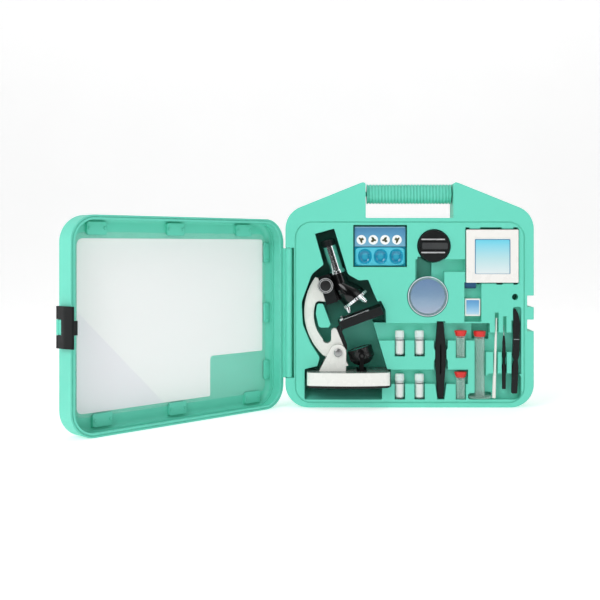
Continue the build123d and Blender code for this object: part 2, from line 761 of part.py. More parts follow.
with BuildSketch() as arm_outline:
    with BuildLine():
        tip = (-114.2, 157.2)
        heel = (-104.1, 61.9)
        ThreePointArc(tip, (-127.4, 111.8), heel)
        Line(heel, (-90.0, 57.5))
        Line((-90.0, 57.5), (PIVOT_X, PIVOT_Z))
        Line((PIVOT_X, PIVOT_Z), (-78.6, 71.0))
        Line((-78.6, 71.0), (-87.2, 91.8))
        ThreePointArc((-87.2, 91.8), (-91.4, 95.2), (-94.8, 91.6))
        Line((-94.8, 91.6), (-94.8, 81.0))
        ThreePointArc((-94.8, 81.0), (-99.4, 76.8), (-105.0, 82.0))
        ThreePointArc((-105.0, 82.0), (-115.9, 110.0), (-114.2, 124.0))
        ThreePointArc((-114.2, 124.0), (-111.6, 127.4), (-107.5, 127.8))
        Line((-107.5, 127.8), (-101.5, 127.3))
        Line((-101.5, 127.3), (-110.4, 155.8))
        Line((-110.4, 155.8), tip)
    make_face()
    with Locations((PIVOT_X, PIVOT_Z)):
        Circle(ROOT_RADIUS)
        Circle(BOLT_RADIUS + RUNNING_GAP, mode=Mode.SUBTRACT)

with BuildPart() as housing_space:
    with BuildSketch(SIDE.offset(ARM_HALF + 2)):
        block(HOUSING_LEFT, 20, HOUSING_LOW - 20, HOUSING_TOP + 20)
    extrude(amount=-2 * (ARM_HALF + 2))

with BuildPart() as arm:
    with BuildSketch(middle(ARM_HALF)):
        add(arm_outline.sketch)
    extrude(amount=-2 * ARM_HALF)
    add(housing_space.part, mode=Mode.SUBTRACT)
save(arm, "arm")

GEAR_TEETH = 10
GEAR_PITCH_RADIUS = 4.0
RACK_PITCH = 2 * 3.141592653589793 * GEAR_PITCH_RADIUS / GEAR_TEETH
PINION_SHAFT = 2.0
KNOB_GAP = 9.2
KNOB_RADIUS = 9.5
KNOB_WIDTH = 10.0
HOUSING_HALF = 8.5

with BuildPart() as focus_housing:
    with BuildSketch(SIDE.offset(HOUSING_HALF)):
        block(HOUSING_LEFT, HOUSING_RIGHT, HOUSING_LOW, HOUSING_TOP)
        with Locations((PINION_A, PINION_B)):
            Circle(PINION_SHAFT + RUNNING_GAP, mode=Mode.SUBTRACT)
    extrude(amount=-2 * HOUSING_HALF)
    # channel for the rack and room for the gear
    with BuildSketch(SIDE.offset(4.4)):
        block(-15.4, HOUSING_RIGHT + 1, HOUSING_LOW - 1, HOUSING_TOP + 1)
        with Locations((PINION_A, PINION_B)):
            Circle(5.2)
    extrude(amount=-8.8, mode=Mode.SUBTRACT)
save(focus_housing, "focus_housing")

with BuildPart() as focus_pinion:
    with BuildSketch(SIDE.offset(KNOB_GAP + KNOB_WIDTH - 1)):
        with Locations((PINION_A, PINION_B)):
            Circle(PINION_SHAFT)
    extrude(amount=-2 * (KNOB_GAP + KNOB_WIDTH - 1))
    with BuildSketch(SIDE.offset(4.0)):
        with Locations((PINION_A, PINION_B)):
            Circle(3.0)
            with PolarLocations(3.6, GEAR_TEETH):
                Rectangle(1.6, 0.9)
    extrude(amount=-8.0)
save(focus_pinion, "focus_pinion")

with BuildPart() as focus_knobs:
    for front in (KNOB_GAP + KNOB_WIDTH, -KNOB_GAP):
        with BuildSketch(SIDE.offset(front)):
            with Locations((PINION_A, PINION_B)):
                Circle(KNOB_RADIUS)
                Circle(PINION_SHAFT, mode=Mode.SUBTRACT)
                with PolarLocations(KNOB_RADIUS, 24):
                    Circle(0.5, mode=Mode.SUBTRACT)
        extrude(amount=-KNOB_WIDTH)
    # the outer face of each knob is dished inside its bright ring
    for front, side in ((KNOB_GAP + KNOB_WIDTH, -1), (-KNOB_GAP - KNOB_WIDTH, 1)):
        with BuildSketch(SIDE.offset(front)):
            with Locations((PINION_A, PINION_B)):
                Circle(7.2)
                Circle(4.6, mode=Mode.SUBTRACT)
        extrude(amount=side * 1.6, mode=Mode.SUBTRACT)
save(focus_knobs, "focus_knobs")

# ------------------------------------------------------------------ body tube
HEAD_RADIUS = 9.6
HEAD_NECK = -14.0
DOME_RADIUS = 15.2
RACK_FACE = -13.2
STUD_RADIUS = 3.0
TURRET_THICK = 3.4

with BuildPart() as tube_head:
    with BuildSketch(TUBE.offset(-2)):
        Circle(HEAD_RADIUS)
    extrude(amount=HEAD_NECK + 2)
    with BuildSketch(TUBE.offset(HEAD_NECK)):
        Circle(HEAD_RADIUS)
    with BuildSketch(TURRET.offset(3.0)):
        Circle(DOME_RADIUS)
    loft()
    with BuildSketch(TURRET.offset(3.0)):
        Circle(DOME_RADIUS)
    extrude(amount=-2.8)
    # slide block that runs in the focus housing
    with BuildSketch(SIDE.offset(4.0)):
        block(RACK_FACE + 1.4, -6.0, HOUSING_LOW + 1, -2)
    extrude(amount=-8.0)
    # stud for the turret, staked over below it
    with BuildSketch(TURRET.offset(0.4)):
        Circle(STUD_RADIUS)
    extrude(amount=-(TURRET_THICK + 1.0))
    with BuildSketch(TURRET.offset(-TURRET_THICK - 0.3)):
        Circle(4.4)
    extrude(amount=-1.2)
    # bore down the optical axis
    with BuildSketch(TUBE.offset(-2)):
        Circle(7.4)
    extrude(amount=-12, mode=Mode.SUBTRACT)
    with BuildSketch(TUBE.offset(-13)):
        Circle(2.6)
    extrude(amount=-32, mode=Mode.SUBTRACT)
save(tube_head, "tube_head")

with BuildPart() as focus_rack:
    with BuildSketch(SIDE.offset(3.8)):
        block(RACK_FACE, RACK_FACE + 1.4, HOUSING_LOW + 1, -2)
        with Locations((RACK_FACE - 0.6, PINION_B + RACK_PITCH / 2)):
            with GridLocations(1, RACK_PITCH, 1, 7):
                Rectangle(1.4, 0.8)
    extrude(amount=-7.6)
save(focus_rack, "focus_rack")

COLLAR_RADIUS = 9.8
DRAW_RADIUS = 8.2
DRAW_TOP = 33.0
EYE_BORE = 5.8

with BuildPart() as draw_tube:
    with BuildSketch(TUBE.offset(-2)):
        Circle(COLLAR_RADIUS)
    extrude(amount=4)
    chamfer(draw_tube.edges().filter_by(GeomType.CIRCLE), 0.5)
    with BuildSketch(TUBE.offset(2)):
        Circle(DRAW_RADIUS)
    extrude(amount=DRAW_TOP - 2)
    with BuildSketch(TUBE.offset(-12)):
        Circle(7.4)
    extrude(amount=10)
    with BuildSketch(TUBE.offset(-12)):
        Circle(EYE_BORE)
    extrude(amount=DRAW_TOP + 12, mode=Mode.SUBTRACT)
save(draw_tube, "draw_tube")

EYE_TOP = 41.6

with BuildPart() as eyepiece:
    with BuildSketch(TUBE.offset(DRAW_TOP)):
        Circle(8.8)
    extrude(amount=EYE_TOP - DRAW_TOP)
    fillet(eyepiece.faces().sort_by(Axis((0, 0, 0), TUBE.z_dir))[-1].edges(), 1.5)
    with BuildSketch(TUBE.offset(DRAW_TOP - 14)):
        Circle(EYE_BORE - RUNNING_GAP)
    extrude(amount=14)
    with BuildSketch(TUBE.offset(DRAW_TOP - 14)):
        Circle(4.4)
    extrude(amount=EYE_TOP + 14 - DRAW_TOP - 3.0, mode=Mode.SUBTRACT)
    with BuildSketch(TUBE.offset(EYE_TOP)):
        Circle(5.6)
    extrude(amount=-3.0, taper=22, mode=Mode.SUBTRACT)
save(eyepiece, "eyepiece")

with BuildPart() as eye_lens:
    with BuildSketch(TUBE.offset(EYE_TOP - 5.6)):
        Circle(4.4)
    extrude(amount=2.2)
save(eye_lens, "eye_lens")

# ------------------------------------------------------------------ turret and objectives
TURRET_RADIUS = 17.3
OBJECTIVE_RING = 12.1
CONE = TURRET_TILT - TILT
OBJECTIVE_LENGTHS = (11.0, 12.0, 13.0)
OBJECTIVE_ANGLES = (180.0, 60.0, -60.0)


def objective_axis(angle):
    """Plane at an objective's seat. Its normal leans in, so the tips splay outwards."""
    out = TURRET.x_dir * cos(radians(angle)) + TURRET.y_dir * sin(radians(angle))
    up = TURRET.z_dir * cos(radians(CONE)) - out * sin(radians(CONE))
    return Plane(
        origin=TURRET.origin + out * OBJECTIVE_RING,
        x_dir=TURRET.z_dir.cross(out),
        z_dir=up,
    )


with BuildPart() as turret:
    with BuildSketch(TURRET.offset(0)):
        Circle(TURRET_RADIUS)
        Circle(STUD_RADIUS + RUNNING_GAP, mode=Mode.SUBTRACT)
        with PolarLocations(TURRET_RADIUS + 0.4, 30):
            Circle(0.9, mode=Mode.SUBTRACT)
    extrude(amount=-TURRET_THICK)
    for angle in OBJECTIVE_ANGLES:
        with BuildSketch(objective_axis(angle).offset(3)):
            Circle(2.6)
        extrude(amount=-12, mode=Mode.SUBTRACT)
save(turret, "turret")


def objective(length, angle):
    """Stepped barrel screwed into the turret, with a bore for its lens."""
    seat = objective_axis(angle)
    with BuildPart() as piece:
        for top, radius, drop in ((-1.0, 4.6, 5.0), (-6.0, 3.6, length - 8.0), (2 - length, 2.6, 2.0)):
            with BuildSketch(seat.offset(top)):
                Circle(radius)
            extrude(amount=-drop)
        with BuildSketch(TURRET.offset(-TURRET_THICK)):
            Circle(40)
        extrude(amount=20, mode=Mode.SUBTRACT)
        with BuildSketch(seat.offset(2)):
            Circle(2.6)
        extrude(amount=-(length - 1.0), mode=Mode.SUBTRACT)
        with BuildSketch(seat.offset(-length)):
            Circle(1.4)
        extrude(amount=5, mode=Mode.SUBTRACT)
    return piece


OBJECTIVES = ("objective_short", "objective_medium", "objective_long")
for name, length, angle in zip(OBJECTIVES, OBJECTIVE_LENGTHS, OBJECTIVE_ANGLES):
    save(objective(length, angle), name)

with BuildPart() as objective_lenses:
    for length, angle in zip(OBJECTIVE_LENGTHS, OBJECTIVE_ANGLES):
        with BuildSketch(objective_axis(angle).offset(-length + 0.2)):
            Circle(1.4)
        extrude(amount=0.8)
save(objective_lenses, "objective_lenses")

# ------------------------------------------------------------------ stage
STAGE_LENGTH = 55.0
STAGE_HALF = 28.5
STAGE_THICK = 10.0
STAGE_TOP = 2.6
CLIP_Y = 22.0
CLIP_X = 5.0
CLIP_SCREW_RADIUS = 1.4

with BuildPart() as stage:
    with BuildSketch(STAGE):
        block(0, STAGE_LENGTH, -STAGE_HALF, STAGE_HALF, 3)
    extrude(amount=-STAGE_THICK)
    fillet(stage.faces().sort_by(Axis((0, 0, 0), STAGE.z_dir))[-1].edges(), 0.8)
    with BuildSketch(STAGE.offset(-STAGE_TOP)):
        block(8.0, STAGE_LENGTH - 2.4, -STAGE_HALF + 2.4, STAGE_HALF - 2.4, 1)
    extrude(amount=-STAGE_THICK, mode=Mode.SUBTRACT)
    with BuildSketch(STAGE):
        with Locations((16.1, 0)):
            Circle(5)
        with Locations((CLIP_X, -CLIP_Y), (CLIP_X, CLIP_Y)):
            Circle(CLIP_SCREW_RADIUS)
    extrude(amount=-STAGE_TOP - 3, mode=Mode.SUBTRACT)
    # bracket down the arm's finger to the tilt joint
    with BuildSketch(middle(ARM_HALF)):
        add(
            outline(
                [
                    (-79.5, 97.5),
                    (-84.0, 99.5),
                    (-88.4, 94.4),
                    (-87.0, 91.8),
                    (-78.4, 71.0),
                    (-76.9, 68.6),
                    (-75.0, 69.4),
                    (-75.6, 75.0),
                    (-81.5, 90.0),
                ],
                [0, 0, 1, 0, 0, 0.5, 1, 4, 2],
            )
        )
        add(arm_outline.sketch, mode=Mode.SUBTRACT)
    extrude(amount=-2 * ARM_HALF)
save(stage, "stage")


def stage_clip(side):
    """Spring clip: an eye under the screw and a strip that lies along the stage."""
    with BuildPart() as piece:
        with BuildSketch(STAGE.offset(0.1)):
            with Locations((CLIP_X, side * CLIP_Y)):
                Circle(3.0)
            block(CLIP_X, CLIP_X + 33, side * CLIP_Y - 1.5, side * CLIP_Y + 1.5)
            with Locations((CLIP_X + 33, side * CLIP_Y)):
                Circle(2.2)
            with Locations((CLIP_X, side * CLIP_Y)):
                Circle(CLIP_SCREW_RADIUS + RUNNING_GAP, mode=Mode.SUBTRACT)
        extrude(amount=0.8)
    return piece


save(stage_clip(-1), "clip_near")
save(stage_clip(1), "clip_far")

with BuildPart() as clip_screws:
    for side in (-1, 1):
        with BuildSketch(STAGE.offset(-4)):
            with Locations((CLIP_X, side * CLIP_Y)):
                Circle(CLIP_SCREW_RADIUS)
        extrude(amount=5.0)
        with BuildSketch(STAGE.offset(1.0)):
            with Locations((CLIP_X, side * CLIP_Y)):
                Circle(2.6)
        extrude(amount=1.6)
save(clip_screws, "clip_screws")

# ------------------------------------------------------------------ mirror and lamp
YOKE_INNER = 16.4
YOKE_OUTER = 19.4
TRUNNION_RADIUS = 2.0
YOKE_ARM_HALF = 2.5
DRUM_RADIUS = 15.0
DRUM_THICK = 17.0
GLASS_RADIUS = 12.4
MIRROR_X = -57.8
MIRROR_Z = 62.6

with BuildPart() as mirror_yoke:
    with BuildSketch(Plane.XY.offset(FOOT_TOP)):
        with Locations((MIRROR_X, SCOPE_Y)):
            RectangleRounded(12, 2 * YOKE_OUTER, 1)
    extrude(amount=0.9)
    for front in (-YOKE_INNER, YOKE_OUTER):
        with BuildSketch(middle(front)):
            block(MIRROR_X - YOKE_ARM_HALF, MIRROR_X + YOKE_ARM_HALF, FOOT_TOP, MIRROR_Z)
            with Locations((MIRROR_X, MIRROR_Z)):
                Circle(3.8)
                Circle(TRUNNION_RADIUS + RUNNING_GAP, mode=Mode.SUBTRACT)
        extrude(amount=-(YOKE_OUTER - YOKE_INNER))
save(mirror_yoke, "mirror_yoke")

with BuildPart() as mirror_drum:
    with BuildSketch(MIRROR.offset(DRUM_THICK / 2)):
        RegularPolygon(DRUM_RADIUS, 10)
    extrude(amount=-DRUM_THICK)
    chamfer(mirror_drum.faces().sort_by(Axis((0, 0, 0), MIRROR.z_dir))[0].edges(), 4)
    with BuildSketch(MIRROR.offset(DRUM_THICK / 2)):
        Circle(GLASS_RADIUS)
    extrude(amount=-2.0, mode=Mode.SUBTRACT)
    with BuildSketch(middle(YOKE_OUTER)):
        with Locations((MIRROR_X, MIRROR_Z)):
            Circle(TRUNNION_RADIUS)
    extrude(amount=-2 * YOKE_OUTER)
save(mirror_drum, "mirror_drum")

with BuildPart() as mirror_glass:
    with BuildSketch(MIRROR.offset(DRUM_THICK / 2 - 2.0)):
        Circle(GLASS_RADIUS)
    extrude(amount=1.5)
save(mirror_glass, "mirror_glass")

# ------------------------------------------------------------------ slide box and other boxes
SLIDE_BOX = (68.2, 131.2, 150.8, 214.8)

with BuildPart() as slide_box_tray:
    with BuildSketch(inside(3.6)):
        block(*SLIDE_BOX, 1)
    extrude(amount=-15.4)
    with BuildSketch(inside(3.6)):
        block(SLIDE_BOX[0] + 2, SLIDE_BOX[1] - 2, SLIDE_BOX[2] + 2, SLIDE_BOX[3] - 2, 1)
    extrude(amount=-13.6, mode=Mode.SUBTRACT)
save(slide_box_tray, "slide_box_tray")

with BuildPart() as slide_box_lid:
    with BuildSketch(inside(-3.0)):
        block(*SLIDE_BOX, 1)
    extrude(amount=-6.6)
    fillet(slide_box_lid.faces().sort_by(Axis.Y)[0].edges(), 0.8)
    with BuildSketch(inside(-3.0)):
        block(78.4, 121.4, 161.2, 205.0, 1.5)
    extrude(amount=-1.0, mode=Mode.SUBTRACT)
    with BuildSketch(inside(-0.6)):
        block(SLIDE_BOX[0] + 2.4, SLIDE_BOX[1] - 2.4, SLIDE_BOX[2] + 2.4, SLIDE_BOX[3] - 2.4)
    extrude(amount=-4.2, mode=Mode.SUBTRACT)
save(slide_box_lid, "slide_box_lid")

SPECIMEN = (-66.6, -4.6, 170.8, 218.6)
SPECIMEN_SPLIT = 194.2

with BuildPart() as specimen_box:
    with BuildSketch(inside(4.0)):
        block(*SPECIMEN, 1)
    extrude(amount=-13.4)
    with BuildSketch(inside(4.0)):
        block(SPECIMEN[0], SPECIMEN[1], SPECIMEN[2], SPECIMEN_SPLIT)
    extrude(amount=-6.0, mode=Mode.SUBTRACT)
save(specimen_box, "specimen_box")

with BuildPart() as specimen_wells:
    with BuildSketch(inside(4.0)):
        block(SPECIMEN[0], SPECIMEN[1], SPECIMEN[2], SPECIMEN_SPLIT - 0.2, 4)
    extrude(amount=-6.0)
    with BuildSketch(inside(4.0)):
        with Locations((-35.6, 182.4)):
            with GridLocations(19.4, 1, 3, 1):
                RectangleRounded(17.0, 18.0, 6.5)
    extrude(amount=-4.6, taper=12, mode=Mode.SUBTRACT)
save(specimen_wells, "specimen_wells")

with BuildPart() as cover_box:
    with BuildSketch(inside(2.4)):
        block(67.0, 86.0, 110.2, 131.4, 1)
    extrude(amount=-9.0)
    fillet(cover_box.faces().sort_by(Axis.Y)[0].edges(), 0.8)
save(cover_box, "cover_box")

# ------------------------------------------------------------------ slicer and petri dish
SLICER = (29.4, 195.1)
PETRI = (22.0, 134.1)

with BuildPart() as slicer_body:
    with BuildSketch(inside(-2.0)):
        with Locations(SLICER):
            Circle(19.2)
    extrude(amount=-26.0)
    fillet(slicer_body.faces().sort_by(Axis.Y)[0].edges(), 1.0)
    with BuildSketch(inside(-4.6)):
        with Locations(SLICER):
            RectangleRounded(31.0, 9.6, 2.0)
    extrude(amount=-3.0)
save(slicer_body, "slicer_body")

with BuildPart() as slicer_rails:
    for z in (SLICER[1] - 7.9, SLICER[1] + 7.9):
        with BuildSketch(inside(-3.4)):
            with Locations((SLICER[0] - 1.2, z)):
                Rectangle(28.4, 1.6)
        extrude(amount=-1.4)
save(slicer_rails, "slicer_rails")

with BuildPart() as petri_dish:
    with BuildSketch(inside(1.4)):
        with Locations(PETRI):
            Circle(22.4)
    extrude(amount=-8.2)
    with BuildSketch(inside(1.4)):
        with Locations(PETRI):
            Circle(21.2)
    extrude(amount=-7.0, mode=Mode.SUBTRACT)
save(petri_dish, "petri_dish")

with BuildPart() as petri_lid:
    with BuildSketch(inside(-1.0)):
        with Locations(PETRI):
            Circle(24.2)
    extrude(amount=-7.0)
    fillet(petri_lid.faces().sort_by(Axis.Y)[0].edges(), 1.2)
    with BuildSketch(inside(0.6)):
        with Locations(PETRI):
            Circle(22.8)
    extrude(amount=-8, mode=Mode.SUBTRACT)
save(petri_lid, "petri_lid")

# ------------------------------------------------------------------ vials and tubes
VIAL_DEPTH = 6.0
VIAL_RADIUS = 5.5
VIAL_HEIGHT = 30.4


def vial(x, low):
    """Small bottle with a screw cap: two solids that stand on each other."""
    with BuildPart() as piece:
        for start, height, radius in (
            (0, VIAL_HEIGHT - 9.4, VIAL_RADIUS),
            (VIAL_HEIGHT - 9.4, 1.0, VIAL_RADIUS - 1.2),
        ):
            with BuildSketch(Plane.XY.offset(low + start)):
                with Locations((x, FACE_Y + VIAL_DEPTH)):
                    Circle(radius)
            extrude(amount=height)
        with BuildSketch(Plane.XY.offset(low + 1.2)):
            with Locations((x, FACE_Y + VIAL_DEPTH)):
                Circle(VIAL_RADIUS - 1.0)
        extrude(amount=VIAL_HEIGHT - 13.0, mode=Mode.SUBTRACT)
        with BuildSketch(Plane.XY.offset(low + VIAL_HEIGHT - 8.4)):
            with Locations((x, FACE_Y + VIAL_DEPTH)):
                Circle(VIAL_RADIUS - 0.2)
        extrude(amount=8.4)
    return piece


VIALS = [(x, low) for low in (62.4, 10.0) for x in VIAL_X]
for number, (x, low) in enumerate(VIALS, start=1):
    save(vial(x, low), f"vial_{number}")


def tube_and_cap(x, depth, low, top, radius, foot_radius=0.0):
    """Round tube with a bore, and the stopper that plugs it."""
    centre = (x, FACE_Y + depth)
    mouth = top - 3.4
    with BuildPart() as tube:
        with BuildSketch(Plane.XY.offset(low)):
            with Locations(centre):
                Circle(radius)
        extrude(amount=mouth - low)
        if foot_radius:
            with BuildSketch(Plane.XY.offset(low)):
                with Locations(centre):
                    Circle(foot_radius)
            extrude(amount=2.4)
        with BuildSketch(Plane.XY.offset(low + 2.0)):
            with Locations(centre):
                Circle(radius - 0.9)
        extrude(amount=mouth - low, mode=Mode.SUBTRACT)
    with BuildPart() as cap:
        with BuildSketch(Plane.XY.offset(mouth)):
            with Locations(centre):
                Circle(7.5)
        extrude(amount=3.4)
        fillet(cap.edges().filter_by(GeomType.CIRCLE), 0.8)
        with BuildSketch(Plane.XY.offset(mouth)):
            with Locations(centre):
                Circle(radius - 0.9 - RUNNING_GAP)
        extrude(amount=-6.0)
    return tube, cap


for number, low in ((1, 60.2), (2, 10.2)):
    tube, cap = tube_and_cap(SAMPLE_X, 4.2, low, low + 32.8, 5.4)
    save(tube, f"sample_tube_{number}")
    save(cap, f"sample_tube_cap_{number}")

cylinder, cylinder_cap = tube_and_cap(CYLINDER_X, 7.4, 11.2, 92.0, 6.2, foot_radius=13.9)
save(cylinder, "cylinder")
save(cylinder_cap, "cylinder_cap")

# ------------------------------------------------------------------ tools
TWEEZERS = [
    (-3.0, 10.6),
    (-4.6, 30.0),
    (-6.0, 50.0),
    (-6.3, 66.0),
    (-5.6, 80.0),
    (-4.6, 90.0),
    (-3.6, 102.8),
]
BRIDGE_LOW = 94.0
LEAF_FRONT = 3.0

with BuildPart() as tweezers_rear:
    with BuildSketch(inside(LEAF_FRONT + 6.0)):
        add(leaf(TWEEZERS, TWEEZERS_X))
    extrude(amount=-1.8)
    with BuildSketch(inside(LEAF_FRONT + 1.8)):
        add(leaf(TWEEZERS, TWEEZERS_X))
        block(TWEEZERS_X - 9, TWEEZERS_X + 9, 0, BRIDGE_LOW, mode=Mode.SUBTRACT)
    extrude(amount=-4.2)
save(tweezers_rear, "tweezers_rear")

with BuildPart() as tweezers_front:
    with BuildSketch(inside(LEAF_FRONT)):
        add(leaf(TWEEZERS, TWEEZERS_X))
        block(TWEEZERS_X - 0.9, TWEEZERS_X + 0.9, 40.0, 76.0, 0.8, mode=Mode.SUBTRACT)
    extrude(amount=-1.8)
save(tweezers_front, "tweezers_front")

ROD_LOW = Vector(102.2, FACE_Y + 3.2, 11.0)
ROD_HIGH = Vector(105.3, FACE_Y + 3.2, 108.0)
ROD = Plane(origin=ROD_LOW, z_dir=ROD_HIGH - ROD_LOW)

with BuildPart() as stir_rod:
    with BuildSketch(ROD):
        Circle(2.3)
    with BuildSketch(ROD.offset((ROD_HIGH - ROD_LOW).length)):
        Circle(1.0)
    loft()
save(stir_rod, "stir_rod")

NEEDLE = (114.4, FACE_Y + 3.4)
NEEDLE_PROFILE = ((22.0, 2.3), (50.0, 2.5), (53.0, 1.3), (59.0, 1.3), (62.0, 2.2), (78.0, 2.0), (86.5, 1.1))

with BuildPart() as needle_handle:
    for (low, wide), (high, narrow) in zip(NEEDLE_PROFILE, NEEDLE_PROFILE[1:]):
        with BuildSketch(Plane.XY.offset(low)):
            with Locations(NEEDLE):
                Circle(wide)
        with BuildSketch(Plane.XY.offset(high)):
            with Locations(NEEDLE):
                Circle(narrow)
        loft()
save(needle_handle, "needle_handle")

with BuildPart() as needle_point:
    with BuildSketch(Plane.XY.offset(86.5)):
        with Locations(NEEDLE):
            Circle(0.6)
    with BuildSketch(Plane.XY.offset(99.5)):
        with Locations(NEEDLE):
            Circle(0.25)
    loft()
save(needle_point, "needle_point")

with BuildPart() as scalpel:
    with BuildSketch(inside(1.6)):
        add(
            outline(
                [
                    (123.4, 16.6),
                    (130.4, 16.6),
                    (131.8, 49.0),
                    (131.0, 57.0),
                    (132.8, 63.0),
                    (133.4, 84.0),
                    (133.8, 101.0),
                    (131.6, 113.0),
                    (127.2, 120.8),
                    (125.8, 116.0),
                    (125.4, 84.0),
                    (124.6, 63.0),
                    (126.4, 57.0),
                    (124.4, 49.0),
                ],
                [1.5, 1.5, 2, 2, 2, 10, 8, 8, 0.8, 1, 10, 2, 2, 2],
            )
        )
    extrude(amount=-4.0)
save(scalpel, "scalpel")
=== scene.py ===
import json
import math

import bmesh
import bpy
from mathutils import Matrix, Vector


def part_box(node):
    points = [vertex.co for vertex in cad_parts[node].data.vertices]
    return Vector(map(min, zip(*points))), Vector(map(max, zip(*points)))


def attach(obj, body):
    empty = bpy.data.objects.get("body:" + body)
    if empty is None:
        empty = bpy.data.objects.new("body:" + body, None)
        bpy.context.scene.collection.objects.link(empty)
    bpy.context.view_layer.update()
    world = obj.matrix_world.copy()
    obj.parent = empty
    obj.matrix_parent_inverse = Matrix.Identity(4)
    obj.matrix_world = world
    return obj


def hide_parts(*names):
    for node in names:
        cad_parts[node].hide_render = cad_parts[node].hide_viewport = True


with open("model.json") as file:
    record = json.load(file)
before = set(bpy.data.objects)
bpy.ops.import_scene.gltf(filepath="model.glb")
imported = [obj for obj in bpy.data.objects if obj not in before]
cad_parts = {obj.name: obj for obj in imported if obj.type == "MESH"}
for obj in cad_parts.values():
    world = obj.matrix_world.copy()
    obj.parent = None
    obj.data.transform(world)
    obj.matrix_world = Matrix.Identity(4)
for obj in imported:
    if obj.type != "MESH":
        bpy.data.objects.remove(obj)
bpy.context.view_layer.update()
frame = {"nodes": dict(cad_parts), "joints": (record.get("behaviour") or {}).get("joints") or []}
NODES = frame["nodes"]
MM = 0.001

# ------------------------------------------------------------------ frame facts
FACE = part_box("tray_panel")[0].y
FRONT = (0, -1, 0)
UP = (0, 0, 1)


def joint(name):
    """A joint's entry in the frame."""
    return next(entry for entry in frame["joints"] if entry["name"] == name)


HINGE = Vector(joint("lid_hinge")["pos_m"])
LID_OPEN = -math.radians(joint("lid_hinge")["range_deg"][0])
LID_OUTWARD = Vector((math.cos(LID_OPEN), -math.sin(LID_OPEN), 0))
LID_BACK = Vector((-math.sin(LID_OPEN), -math.cos(LID_OPEN), 0))
MIRROR_PIVOT = Vector(joint("mirror_tilt")["pos_m"])


# ------------------------------------------------------------------ materials
def srgb(r, g, b):
    """Linear colour from 0-255 display values."""
    return tuple(((c / 255 + 0.055) / 1.055) ** 2.4 if c > 10 else c / 3294 for c in (r, g, b))


